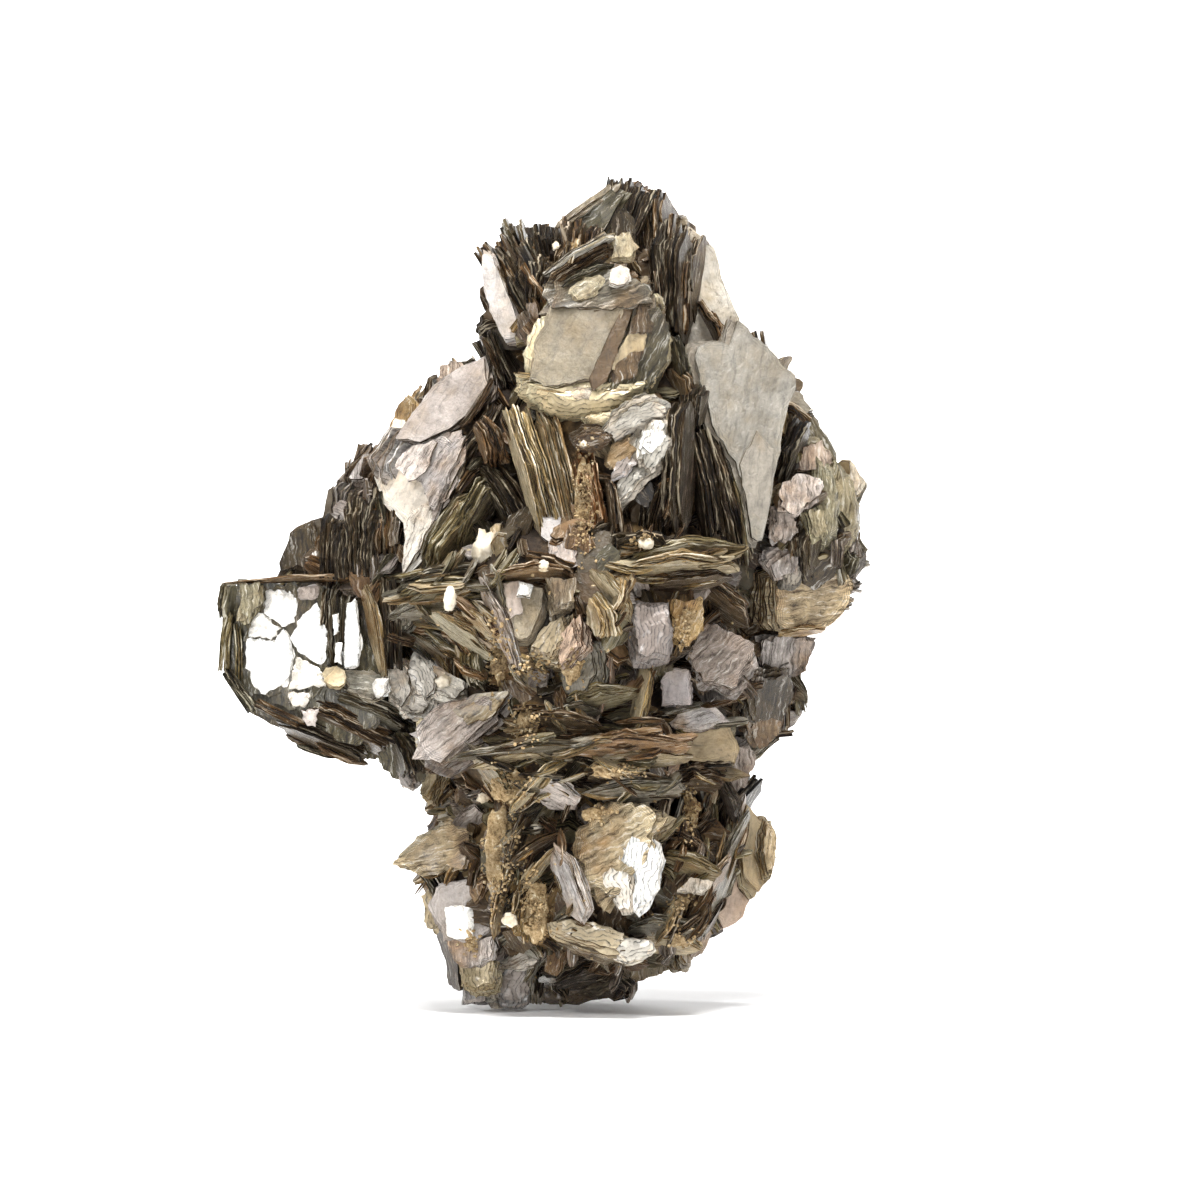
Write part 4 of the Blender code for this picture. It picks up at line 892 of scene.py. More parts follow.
# the arm on the left: a broad hexagonal book with a silver face
silverBook = {
    "plates": [
        ("arm back", (-43, 82), -2, (-0.25, 0.1, 0.96), 8,
         [(-49, 77), (-46.5, 85.5), (-43, 87.5), (-40.5, 88), (-39.5, 94), (-36, 95), (-33, 95), (-34, 77)],
         "ink"),
        ("arm back face", (-44, 81.5), 0, (-0.3, 0.1, 0.95), 3,
         [(-48.5, 78), (-46, 86), (-42, 87.5), (-40, 78)], "ink", "ragged"),
        ("silver book", (-43, 62, -7.7), 0, (-0.1, 0.06, 0.99), 14,
         [(-57.5, 77), (-59.3, 68), (-58.5, 60), (-55, 54), (-50, 51.5), (-41, 47.5), (-32, 45), (-27, 50),
          (-26, 62), (-27, 77)], "moss", "terrace"),
        ("silver book inner", (-44, 64, -9.1), 0, (-0.1, 0.06, 0.99), 1,
         [(-54.5, 76.5), (-54.4, 66), (-52.6, 57), (-46, 53), (-39, 54), (-38, 62), (-38.5, 76.5)], "moss",
         "ragged"),
        ("arm edge light", (-52.8, 73.5, -10.2), 0, (-0.3, 0.1, 0.94), 1.6,
         [(-54.6, 76.8), (-50.8, 76.6), (-51.2, 73), (-53.4, 69.4), (-54.8, 70)], "olive", "ragged"),
        ("arm foot", (-28, 45), 3, (-0.2, -0.2, 0.95), 8,
         [(-31.5, 50), (-30, 44), (-27, 41), (-22, 40), (-21, 50)], "moss", "ragged"),
        ("arm ledge", (-32, 58.6, -10.6), 0, (0.1, 0.4, 0.9), 2,
         [(-36, 61.4), (-28.5, 60.6), (-27.4, 57), (-31, 55.4), (-35.5, 57.6)], "grey", "ragged", (1, -0.2)),
    ],
    "stacks": [
        ("arm comb", (-36.5, 83), 3, (0.05, 1), 0.2, (12, 12, 5), 0.1, "ink"),
        ("arm comb middle", (-32, 85), 3.5, (0.02, 1), 0.3, (15, 12, 5), 0.1, "ink", "ragged"),
        ("arm comb inner", (-28, 87), 3, (0.05, 1), 0.2, (15, 11, 4), 0.1, "umber"),
        ("arm comb top", (-34.5, 91), 3.5, (0.3, 1), 0.4, (7, 8, 5), 0.2, "mauve", "ragged"),
        ("arm shelf", (-41, 77.3, -9), 0, (1, 0.02), 0.15, (30, 6, 0.8), 0.1, "brown", "blade"),
        ("arm striped", (-36.2, 69), 7.4, (0.04, 1), 0.2, (15.5, 8, 3.4), 0.05, "slate"),
        # an ink-dark book put in the groove's shade: painted shade
        ("arm groove", (-39, 70.5), 7.2, (0.08, 1), 0.15, (13, 7, 1.4), 0.1, "ink"),
        ("arm post", (-30.4, 68.4, -12.6), 0, (0.2, -1), 0.35, (17, 6, 1.3), 0.2, "tan", "blade"),
        # an ink-dark book put in the dark gap beside the post: painted shade
        ("arm post dark", (-28, 69), 6, (0.05, -1), 0.2, (16, 8, 3), 0.1, "ink"),
        ("arm lines", (-31, 54, -9), 0, (0.93, -0.35), 0.3, (14, 9, 2.6), 0.2, "slate"),
        ("arm belly", (-36, 51, -8), 0, (0.9, -0.4), 0.3, (17, 10, 3.4), 0.2, "umber"),
        ("arm belly low", (-40, 48.6, -7), 0, (0.92, -0.36), 0.3, (17, 9, 2.6), 0.3, "ink"),
        ("arm belly left", (-47.5, 52.8, -7.4), 0, (0.88, -0.42), 0.05, (13, 8, 2), 0.3, "umber"),
        ("arm rim low", (-54.8, 57.4, -7.4), 0, (0.55, -0.83), 0.02, (9, 7, 2), 0.3, "moss"),
        ("arm rim", (-57.4, 66, -6.6), 0, (-0.1, -1), 0.02, (11, 6, 2), 0.3, "olive"),
        ("arm rim inner", (-55.2, 64, -7.6), 0, (0.05, -1), 0.1, (12, 6, 1.4), 0.3, "olive"),
        ("arm rim top", (-57, 73.5, -7), 0, (0.12, 1), 0.3, (7, 6, 1.6), 0.3, "olive"),
        ("arm crumple", (-25, 46), 6, (0.4, -0.9), 0.4, (9, 7, 4), 0.3, "ink", "ragged"),
    ],
    "curls": [
        ("arm peach", (-37.4, 60, -12), 0, (0, 0.2, 0.98), (0.9, 0.3), (4.4, 4.2, 2.4), "cream", "slab"),
        ("arm tip", (-25.5, 41.5), 4, (-0.3, -0.1, 0.94), (0.5, -0.8), (6, 4, 3), "mauve"),
    ],
}
# the silver face is cracked into a mosaic: the tone and the outline of each patch
silverPatches = [
    ("silver", [(-35.3, 73), (-33.8, 73.6), (-33, 66), (-33.4, 61.8), (-35.8, 61.4), (-35.8, 66)]),
    ("silver", [(-37.8, 70.6), (-37, 71), (-36.8, 68), (-37.6, 67.6)]),
    ("silver", [(-37.4, 65.6), (-36.4, 66), (-36.4, 62.4), (-37.6, 62.6)]),
    ("silver", [(-49.8, 75.6), (-46, 75.2), (-44.2, 73.4), (-44.9, 69.8), (-47, 68.8), (-50.2, 71.2)]),
    ("silver", [(-52.9, 71.8), (-50.4, 71.3), (-47.3, 68.6), (-48.5, 66.7), (-53.2, 67)]),
    ("silver", [(-53.5, 66.6), (-48.4, 66.3), (-46.9, 68.2), (-45.6, 66.4), (-45, 63.6), (-46.4, 58.2),
                (-50, 56.9), (-52, 58), (-53.4, 61.4)]),
    ("silver", [(-40.8, 73), (-43.8, 70.2), (-45.2, 66.6), (-43.6, 64), (-40, 61.9), (-38.5, 66.2)]),
    ("pearl", [(-44.3, 63.4), (-40.2, 61.2), (-39.2, 58.2), (-45.9, 57.7)]),
    ("pearl", [(-46, 57), (-42.2, 57), (-42.4, 54.4), (-45.2, 54.6)]),
    ("lilac", [(-43.4, 53.8), (-40.4, 54.1), (-41, 51), (-43, 51.6)]),
    ("mauve", [(-44.4, 75.8), (-40.2, 76.2), (-40.6, 74), (-43.6, 73.6)]),
    ("silver", [(-31, 59.4), (-28.2, 60), (-28, 57), (-30.2, 56.4)]),
]
# they lie in one plane, and those right of the ridge stand further out
silverFace = {"middle": (-43, 62), "depth": -9.9, "across": -0.101, "up": 0.061, "thickness": 0.8,
              "ridgeFrom": -38, "ridgeProud": 2.2, "ridgeThickness": 2.4, "tilt": (-0.1, 0.06), "sway": 0.05}
for number, (tone, patch) in enumerate(silverPatches):
    x, z = (sum(p[i] for p in patch) / len(patch) for i in (0, 1))
    onRidge = x > silverFace["ridgeFrom"]
    depth = silverFace["depth"] + silverFace["across"] * (x - silverFace["middle"][0])
    depth += silverFace["up"] * (z - silverFace["middle"][1])
    depth -= silverFace["ridgeProud"] * onRidge
    tilt = (silverFace["tilt"][0] + silverFace["sway"] * sin(number * 2.1),
            silverFace["tilt"][1] + silverFace["sway"] * cos(number * 1.7), 0.99)
    thickness = silverFace["ridgeThickness" if onRidge else "thickness"]
    silverBook["plates"].append(
        (f"silver patch {number}", (x, z, depth), 0, tilt, thickness, patch, tone, "patch", (0, 1), 2))
growPiece("silverBook", **silverBook)

# books on edge that hang between the cap and the waist, and the torn cavity beside them
centreBundles = {
    "plates": [
        ("silver lip", (15.5, 106, -30), 0, (0.1, -0.3, 0.95), 3,
         [(9.5, 103.4), (12, 107), (16, 109.6), (20.6, 110.2), (22.4, 107), (17.5, 104), (12.6, 101.6)],
         "pearl", "crumple", (0.9, 0.4)),
        ("silver curl", (18.6, 101, -30.2), 0, (0.1, 0, 0.99), 4,
         [(14.4, 101.6), (16.6, 104.6), (19.4, 107.4), (22.6, 106.8), (23.8, 103.4), (23.2, 100), (20.8, 97),
          (18.6, 95.6), (16, 98.6)], "pearl", "crumple", (0.5, 0.86)),
        ("silver glint", (19.2, 102.6, -31.2), 0, (0.2, 0.2, 0.95), 1,
         [(16.4, 100.4), (17.6, 103.8), (20.8, 105.4), (22.2, 103.2), (20.4, 100.6), (18.6, 98.6)], "silver",
         "crumple", (0.4, 0.9)),
        ("silver wing", (15.6, 94.6, -28), 0, (-0.1, 0.15, 0.98), 3,
         [(11.4, 92), (12.2, 89), (14.8, 91.2), (17.4, 94.4), (20.4, 97), (20.6, 99.4), (17, 99.2),
          (13.4, 96.2)], "pearl", "crumple", (0.66, 0.75)),
        ("silver wing torn", (14.2, 96.6, -29), 0, (-0.4, 0.1, 0.9), 1,
         [(11.6, 94.4), (12.4, 98.2), (15.4, 100.4), (16.8, 98.4), (14.8, 95.6)], "ash", "crumple",
         (0.66, 0.75)),
        ("silver fold", (14, 99.6, -28.6), 0, (-0.2, 0.1, 0.96), 1.6,
         [(10.6, 98), (11.6, 101.4), (15, 103), (17.4, 101), (14.6, 98.4), (12, 96.6)], "tan", "ragged",
         (0.8, 0.5)),
    ],
    "stacks": [
        ("big bundle", (-1.6, 94.5, -27), 0, (0.27, -0.96), 0.2, (30, 11, 4.5), 0.1, "cream"),
        ("big bundle right", (2.6, 94, -26.4), 0, (0.22, -0.98), 0.25, (27, 11, 3.6), 0.1, "tan"),
        ("dark bundle", (-6.2, 90.5), 5.5, (0.5, -0.86), 0.15, (18, 12, 4.6), 0.1, "ink"),
        ("small bundle", (-10, 102), 5, (0.4, -0.92), 0.3, (9, 8, 3), 0.2, "brown", "ragged"),
        ("rusty strip", (7.2, 91), 5, (0.1, -1), 0.3, (20, 10, 3.5), 0.1, "rust", "ragged"),
        ("cavity rim", (12.5, 88.5), 6, (0.12, -1), 0.1, (14, 9, 2), 0.4, "umber", "blade"),
        # the ink-dark floor, wall and back of the cavity are dark books put where the hole is in shade:
        # painted shade
        ("cavity floor", (18, 83.5), 5, (1, -0.1), 0.5, (12, 9, 2), 0.3, "ink", "ragged"),
        ("cavity wall", (20, 88.5, -24), 0, (0.2, 1), 0.2, (12, 8, 5), 0.2, "ink"),
        ("cavity back", (13.5, 88.5, -21), 0, (-0.2, 1), 0.3, (12, 8, 4), 0.2, "ink", "ragged"),
        ("bundle foot", (1, 80), 6, (0.9, -0.2), 0.4, (9, 8, 2), 0.3, "umber", "ragged"),
    ],
    "curls": [
        ("cream curl", (11, 105.4, -27.4), 0, (0.05, -0.35, 0.94), (1, 0), (11, 4.6, 4), "butter"),
        ("cavity shelf", (8.5, 101.5), 5, (0, -0.3, 0.95), (1, 0.1), (8, 5, 4), "umber"),
    ],
}
growPiece("centreBundles", **centreBundles)

# the waist, left of the middle: a nose of flat books, ribbon blades and a leafy curtain
waistLeft = {
    "plates": [
        ("lobe", (-14, 51.5), 7.6, (-0.3, 0.3, 0.9), 7,
         [(-21, 55), (-12, 57.5), (-5.5, 57.5), (-8, 53.5), (-12, 49.5), (-16, 46.5), (-19.5, 44.5),
          (-22.5, 47), (-24, 51)], "mauve", "ragged", (0.8, 0.6)),
        ("lobe tan", (-13, 54.5), 8.8, (-0.3, 0.35, 0.88), 1,
         [(-17, 54), (-12, 57.2), (-6, 57.2), (-9, 53.5), (-13, 51.5)], "tan", "ragged", (0.8, 0.6)),
        ("pink plate", (-4, 72), 7.8, (0.05, 0.2, 0.97), 4,
         [(-8, 77), (-6, 78), (0, 76.5), (0.5, 72), (-2, 67), (-5, 66.8), (-7, 71)], "clay", "slab"),
        ("pink plate crack", (-5, 74), 8.8, (0.0, 0.25, 0.96), 1,
         [(-7, 77), (-4.2, 77.5), (-3.6, 72), (-6, 71)], "mauve", "sheet"),
        # a silver-white spot where the plate catches the light: painted highlight
        ("pink plate spot", (-3.4, 76.2), 9, (0.05, 0.4, 0.92), 2,
         [(-4.6, 75.4), (-4.2, 77.4), (-1.8, 77), (-2.4, 75.2)], "silver", "sheet", (0, 1), 2),
        ("pink plate small", (3, 75), 7, (0.15, 0.25, 0.95), 6,
         [(0.8, 78), (5.5, 78), (6, 73.5), (2, 72)], "clay", "ragged"),
        ("tan leaf", (0.5, 67.5), 7, (-0.3, 0.3, 0.9), 5,
         [(-3.5, 65), (-1, 69.5), (4, 72.5), (5, 68), (1.5, 63.5)], "tan", "waves", (0.6, 0.8)),
        ("pink leaf", (4, 66.5), 7.8, (-0.4, 0.1, 0.9), 5,
         [(2.5, 62), (2.5, 68), (5.5, 71), (6.5, 66)], "pink", "ragged", (0.4, 0.9)),
        ("dark leaf", (6, 62), 7, (-0.5, 0.1, 0.85), 4,
         [(5, 67.5), (9, 67), (10, 60), (7, 56), (2.5, 56.5), (2, 61)], "slate", "waves", (0.35, 0.93)),
    ],
    "stacks": [
        ("nose", (-19.5, 71.8), 8.5, (1, 0.12), 0.35, (16, 13, 3), 0.6, "grey", "lens"),
        ("nose top", (-17, 74.5), 8.5, (1, 0.05), 0.4, (13, 12, 2), 0.6, "olive", "lens"),
        ("nose low", (-19.5, 65), 7.5, (0.83, -0.55), 0.35, (17, 11, 3), 0.4, "grey", "lens"),
        ("nose middle", (-21, 68.8), 8, (0.92, -0.3), 0.4, (13, 11, 2.4), 0.5, "tan", "lens"),
        ("blade low", (-14, 67.5), 8, (0.8, -0.6), 0.35, (13, 9, 1.8), 0.4, "cream", "lens"),
        ("blade mid", (-11.2, 69.8), 8.4, (0.7, -0.72), 0.35, (9, 7, 1.6), 0.4, "cream", "blade"),
        ("vee left", (-15.5, 61.5), 6.5, (0.1, 1), 0.25, (8, 9, 3), 0.2, "umber", "ragged"),
        ("vee right", (-12, 62.5), 6.5, (-0.25, 1), 0.25, (9, 8, 3), 0.2, "olive", "ragged"),
        ("ribbon", (-7.2, 69.5), 10, (0.36, -0.93), 0.3, (18, 8, 2.2), 0.3, "lilac", "blade"),
        ("ribbon thin", (-8, 75.3), 10, (0.2, -0.98), 0.3, (10, 6, 1), 0.4, "grey", "blade"),
        ("brow blade", (-2.5, 79), 8.5, (1, 0.06), 0.4, (14, 9, 1.6), 0.6, "brown", "blade"),
        ("flat blade", (9, 56.5), 9, (1, 0.2), 0.45, (14.5, 9, 2.6), 0.6, "olive", "lens"),
        ("dark lines", (4, 52.2), 7.5, (1, -0.12), 0.4, (13, 10, 2), 0.4, "umber", "blade"),
        ("dark lines upper", (5, 54.3), 7.5, (1, 0.05), 0.4, (10, 9, 1.2), 0.5, "slate", "blade"),
        ("long blade", (-3.5, 47.8), 11.5, (1, 0.08), 0.3, (25, 8, 1.4), 0.6, "slate", "lens"),
        ("long blade low", (-6, 46), 10.5, (0.98, 0.16), 0.4, (14, 7, 1.2), 0.6, "tan", "blade"),
        ("cross blade", (-1, 42), 9.5, (0.72, 0.7), 0.3, (13, 7, 1.3), 0.5, "cream", "blade"),
        ("olive cross", (-8.5, 43), 7.5, (0.6, -0.8), 0.5, (10, 8, 2.4), 0.4, "olive", "lens"),
        ("pale leaf", (2, 40), 8, (0.9, -0.4), 0.8, (9, 8, 2), 0.5, "lilac", "lens"),
    ],
    "curls": [
        ("curtain left", (-26, 58.5, -10.5), 0, (-0.35, 0.25, 0.9), (0.35, -0.94), (12, 6, 4), "bone",
         "shell"),
        ("curtain", (-22, 60, -12), 0, (-0.3, 0.3, 0.9), (0.6, -0.8), (11, 6, 4), "bone", "waves"),
        ("curtain low", (-23.5, 55, -12), 0, (-0.3, 0.3, 0.9), (0.9, -0.4), (9, 5, 3), "bone", "shell"),
        ("curtain right", (-18, 58.5, -13.5), 0, (-0.2, 0.3, 0.92), (0.8, -0.5), (9, 5, 3), "pearl",
         "ragged"),
        ("lobe rim", (-22.6, 50.6, -13), 0, (-0.5, 0.1, 0.85), (0.2, 1), (8, 3.6, 3), "cream"),
        ("lobe rim low", (-19.6, 46, -13), 0, (-0.4, -0.2, 0.88), (0.8, -0.5), (6, 3.4, 3), "cream"),
        ("flap", (-20.5, 41.5), 3, (-0.5, 0.1, 0.86), (0.35, 0.94), (10, 5, 4), "cream", "shell"),
        ("nose tip", (-26, 70.5), 7, (-0.5, 0.1, 0.85), (0.3, 1), (5, 3.6, 4), "grey"),
    ],
}
growPiece("waistLeft", **waistLeft)

# the waist, right of the middle: lens books, a fan and broad brown ledges
waistRight = {
    "plates": [
        ("striped face", (18.5, 68.5), 8, (0.1, 0.15, 0.98), 6,
         [(14.5, 72.5), (16, 74.5), (22.5, 74.5), (23.5, 68), (22.5, 63), (16, 62.5)], "dusk", "waves",
         (0.1, 1)),
        ("gold face", (25, 70), 7.6, (0.3, 0.2, 0.92), 4,
         [(22.5, 74), (28, 74), (28.5, 69), (25.5, 66), (22.5, 67)], "sand", "ragged", (0.4, 0.9)),
        ("square plate", (23, 59), 10.4, (-0.1, 0.12, 0.98), 4,
         [(20.5, 62.3), (25.8, 61.5), (26, 55.2), (20.8, 55.2)], "lavender", "slab"),
        ("right fan", (32, 65, -24), 0, (0.2, 0.3, 0.93), 4,
         [(27, 69.5), (31, 69.5), (37, 66.5), (38.3, 63), (34, 58), (28.5, 59.5), (26, 64)], "mauve",
         "ragged", (0.7, 0.7)),
        ("cream fan", (35.5, 72), 7.5, (0.35, 0.15, 0.92), 4,
         [(31.5, 75.5), (36, 77), (39, 76), (38.5, 71), (35.5, 68), (32.5, 71)], "cream",
         "ragged", (0.8, -0.5)),
        ("dark triangle", (35, 80), 6, (0.3, 0.1, 0.95), 3,
         [(32, 82), (35, 84), (38, 78), (37, 75.5), (33.5, 76.5)], "slate", "sheet"),
        ("tan end", (29.5, 48.7), 7.5, (0.1, 0.15, 0.98), 5,
         [(23.5, 50), (25, 52.5), (33, 52), (35, 48), (34, 44.8), (24, 45.2)], "tan", "slab", (1, 0.1)),
        ("small fan", (26.5, 53), 7, (0.1, 0.3, 0.94), 1.6,
         [(22, 51.5), (24, 55), (30, 54.6), (32, 52.2), (27, 50.6)], "lilac", "ragged", (0.9, 0.3)),
        ("glassy lobe", (44, 63), 4, (0.5, 0.1, 0.85), 6,
         [(38, 67), (44, 67.5), (49.5, 66.5), (47.5, 61.5), (43, 58.5), (38, 61)], "mauve", "ragged"),
        ("dark lobe", (41, 56), 2, (0.55, -0.15, 0.8), 7,
         [(36, 61), (44, 61), (45.8, 57), (43.5, 51), (37, 51)], "ink", "ragged"),
        ("brown end", (40, 50.5), 2.5, (0.35, -0.2, 0.9), 5,
         [(36, 54), (40, 55.5), (43, 52.5), (42, 48.5), (39, 46.5), (37, 49)], "brown", "ragged"),
        ("tag", (35.5, 44.5), 3, (0.4, 0.1, 0.9), 4,
         [(33, 47.5), (37, 48), (38, 45), (37, 41), (34, 39), (31.5, 42)], "mauve", "ragged"),
    ],
    "stacks": [
        ("olive blade", (25, 82.3), 8.5, (1, 0.16), 0.4, (20, 12, 2.6), 0.5, "olive", "lens"),
        ("olive blade mid", (24, 79.6), 9, (1, 0.05), 0.45, (20, 12, 2.2), 0.5, "tan", "lens"),
        ("olive blade low", (26, 77.4), 7.5, (1, 0.14), 0.35, (15, 9, 1.8), 0.5, "umber", "lens"),
        ("right stack", (32, 73), 6.5, (0.78, -0.6), 0.5, (12, 10, 3), 0.2, "umber", "lens"),
        ("tan blade", (12, 75.5), 8.5, (0.62, -0.78), 0.45, (11, 8, 1.8), 0.5, "cream", "lens"),
        ("cream triangle", (10, 71.5), 8, (0.3, -0.95), 0.6, (8, 7, 3), 0.5, "cream", "ragged"),
        ("olive wedge", (13, 69.5), 7, (0.5, 0.86), 0.4, (9, 8, 2.4), 0.5, "olive", "lens"),
        ("white blade", (17.2, 56), 10, (-0.22, -1), 0.35, (15, 7, 1.6), 0.5, "cream", "blade"),
        ("maroon stack", (30.5, 57), 6, (0.9, -0.35), 0.45, (9, 8, 3), 0.3, "brown", "ragged"),
        ("maroon under", (31, 54), 5, (0.95, -0.1), 0.5, (9, 8, 3), 0.3, "umber", "ragged"),
        ("tan ledge", (15, 48.2), 9, (1, 0.03), 0.6, (19, 9, 2.4), 0.4, "brown", "lens"),
        ("tan ledge low", (17, 45.8), 7.5, (1, 0.08), 0.5, (18, 9, 1.2), 0.4, "tan", "lens"),
        ("brow leaf", (16.5, 40.7), 9, (1, 0.06), 0.5, (18, 9, 2.4), 0.7, "grey", "lens"),
        ("brow leaf low", (14, 42.8), 7, (1, -0.1), 0.4, (12, 9, 1.4), 0.6, "umber", "blade"),
        ("shaded lines", (27, 42), 5, (0.95, 0.1), 0.4, (11, 9, 3), 0.3, "umber", "ragged"),
    ],
    "curls": [
        ("tan end curl", (33.4, 46.3), 8.5, (0.2, 0, 0.97), (0.3, 1), (4.6, 3, 4), "pearl", "waves"),
        ("glass curl", (45, 64.5), 6, (0.3, 0.2, 0.92), (0.8, -0.4), (6, 3.6, 2), "pearl", "ragged"),
    ],
}
growPiece("waistRight", **waistRight)

# the lower half: rough boulders of mica, crossed blades and white flakes
lowerRosettes = {
    "plates": [
        ("rough face", (9.5, 31.5), 6.5, (-0.2, 0.15, 0.95), 6,
         [(4.5, 30), (7.5, 37), (12, 39), (18, 38.5), (21, 36), (18, 28), (11, 20), (7, 22)], "tan", "ragged",
         (0.9, 0.4)),
        ("white flake", (17.4, 26, -37.5), 0, (0.05, 0.05, 0.99), 3.4,
         [(13, 28.8), (13.8, 32.6), (15.4, 33.6), (18.6, 33), (20.6, 31), (21.8, 28.4), (20.9, 26),
          (20.6, 22.8), (18.6, 19.6), (16, 17.8), (15.4, 21), (16.2, 24), (15.4, 26.8)], "silver", "waves",
         (0.2, 1)),
        ("cream flake", (13, 23, -36.6), 0, (-0.25, 0.05, 0.97), 2.4,
         [(9.6, 26), (11.8, 28.2), (15.4, 26.8), (16.4, 23), (15.6, 18.6), (13.4, 18.4), (10.8, 21.6)],
         "pearl", "waves", (-0.2, 1)),
        ("tan wing", (-18, 30, -18), 0, (-0.2, 0.3, 0.93), 4,
         [(-27.4, 27.2), (-23, 31.5), (-18.5, 34.8), (-13, 33), (-12, 28.4), (-15, 26), (-23, 25.3)], "tan",
         "ragged", (1, 0.2)),
        ("white plate", (-15.5, 18, -20), 0, (-0.1, 0.1, 0.99), 4,
         [(-21, 19.5), (-19, 23.4), (-14, 24.2), (-10, 21), (-9.4, 15), (-12.5, 12.2), (-17.8, 13)],
         "mauve", "slab"),
        ("white square", (-15, 16.6, -21.3), 0, (0, 0.1, 0.99), 1,
         [(-17.6, 19), (-14.6, 19.6), (-12.6, 18.8), (-12.6, 14), (-14.8, 13.4), (-17.2, 14)], "silver",
         "sheet", (0, 1), 2),
        ("lower lilac", (-13, 11, -20), 0, (-0.15, 0.2, 0.96), 3,
         [(-17, 13), (-9, 13.8), (-9, 10), (-13, 8.4), (-16.4, 9.6)], "lilac", "ragged"),
        ("lower lilac under", (-12.5, 6.8, -19), 0, (-0.15, 0.25, 0.96), 6,
         [(-16, 9.6), (-8.6, 10.4), (-8.6, 5), (-13, 4), (-15.5, 5.6)], "cream", "waves"),
        ("right lens", (38.5, 28.5), 4, (0.6, 0.05, 0.8), 5,
         [(36.5, 38), (40, 33.5), (42, 28), (41, 23), (38, 19.5), (36, 22), (35.5, 30)], "tan", "slab"),
        ("brown lens", (33.6, 21.5), 5, (0.5, -0.05, 0.87), 4,
         [(30.5, 17), (32.6, 25), (37, 28.5), (38, 21), (35.4, 15.5), (32, 14)], "pink", "slab", (0.4, 0.9)),
        ("cream leaf", (27, 23.5), 8.5, (0.1, 0.25, 0.96), 1.4,
         [(23.5, 22.4), (26, 25), (30.3, 24), (28, 21.8)], "pearl", "ragged"),
    ],
    "stacks": [
        ("thin upright", (-5, 30), 7.5, (0.3, 1), 0.3, (18, 7, 1.3), 0.6, "umber", "blade"),
        ("thin upright low", (-8.2, 19), 8, (0.15, 1), 0.3, (10, 6, 1.2), 0.6, "tan", "blade"),
        ("thin cross", (-1, 30.5), 8, (0.82, 0.55), 0.3, (13, 7, 1.2), 0.6, "umber", "blade"),
        ("thin cross low", (-1, 26.6), 7.5, (0.6, 0.8), 0.3, (10, 6, 1), 0.6, "cream", "blade"),
        ("grey curl", (5, 24), 8, (0.35, -0.94), 0.6, (14, 8, 3), 0.4, "lilac", "lens"),
        ("rusty block", (-1.5, 19), 4.5, (0.1, 1), 0.5, (12, 9, 5), 0.1, "sand", "ragged"),
        ("brown slats", (25.5, 27), 7, (0.95, -0.25), 0.45, (11, 9, 2.4), 0.5, "olive", "lens"),
        ("brown slats upper", (25, 30.5), 7, (0.9, -0.45), 0.45, (10, 8, 1.6), 0.6, "umber", "blade"),
        ("long edge", (32, 25.5), 7.5, (0.35, 0.94), 0.3, (24, 9, 1.4), 0.5, "slate", "blade"),
        ("long edge inner", (29.5, 22), 6.5, (0.45, 0.9), 0.3, (14, 8, 1.4), 0.5, "brown", "blade"),
        ("upright a", (28, 37.5), 7, (0.25, -1), 0.3, (14, 8, 1.4), 0.5, "grey", "blade"),
        ("upright b", (32.5, 39), 5.5, (0.45, -0.9), 0.3, (12, 8, 1.8), 0.5, "mauve", "blade"),
        ("upright c", (25.5, 37), 5, (0.0, -1), 0.3, (12, 8, 1.2), 0.4, "umber", "blade"),
        ("hip shade", (33, 36), 0, (0.3, 1), 0.3, (14, 10, 6), 0.2, "ink", "ragged"),
        ("ledge shade", (9, 11.6), 5, (0.9, -0.3), 0.5, (13, 8, 1.6), 0.4, "umber", "ragged"),
        ("ledge root", (8.2, 13.8, -29), 0, (0.94, -0.33), 0.15, (13, 18, 3), 0.2, "umber"),
        ("ledge root low", (8.6, 12, -28), 0, (0.94, -0.33), 0.1, (11, 16, 2), 0.2, "brown"),
        ("ledge root end", (15, 12.2, -29.5), 0, (0.9, 0.2), 0.1, (6.5, 18, 2.4), 0.2, "umber"),
    ],
    "curls": [
        ("curved ledge", (8, 15.4, -34.5), 0, (0, 0.45, 0.9), (0.94, -0.33), (16, 5, 2.4), "tan", "waves"),
        ("curved ledge under", (8.5, 13, -34), 0, (0, 0.2, 0.97), (0.94, -0.33), (13, 4.4, 2.4), "fawn"),
        ("curved ledge end", (16, 12.6, -35.4), 0, (0.1, 0.3, 0.94), (0.9, 0.2), (8.5, 5, 2.4), "pearl",
         "waves"),
        ("low left", (-20.6, 18), 1, (-0.5, 0, 0.86), (-0.1, 1), (10, 5, 4), "tan", "waves"),
        ("ochre pad", (26, 35.5), 5, (0.2, 0.1, 0.97), (0.1, 1), (6, 3.4, 3), "sand", "ragged"),
        ("nose curl", (40, 29), 4, (0.6, 0, 0.8), (0.1, 1), (13, 5, 4), "tan", "shell"),
    ],
}
growPiece("lowerRosettes", **lowerRosettes)

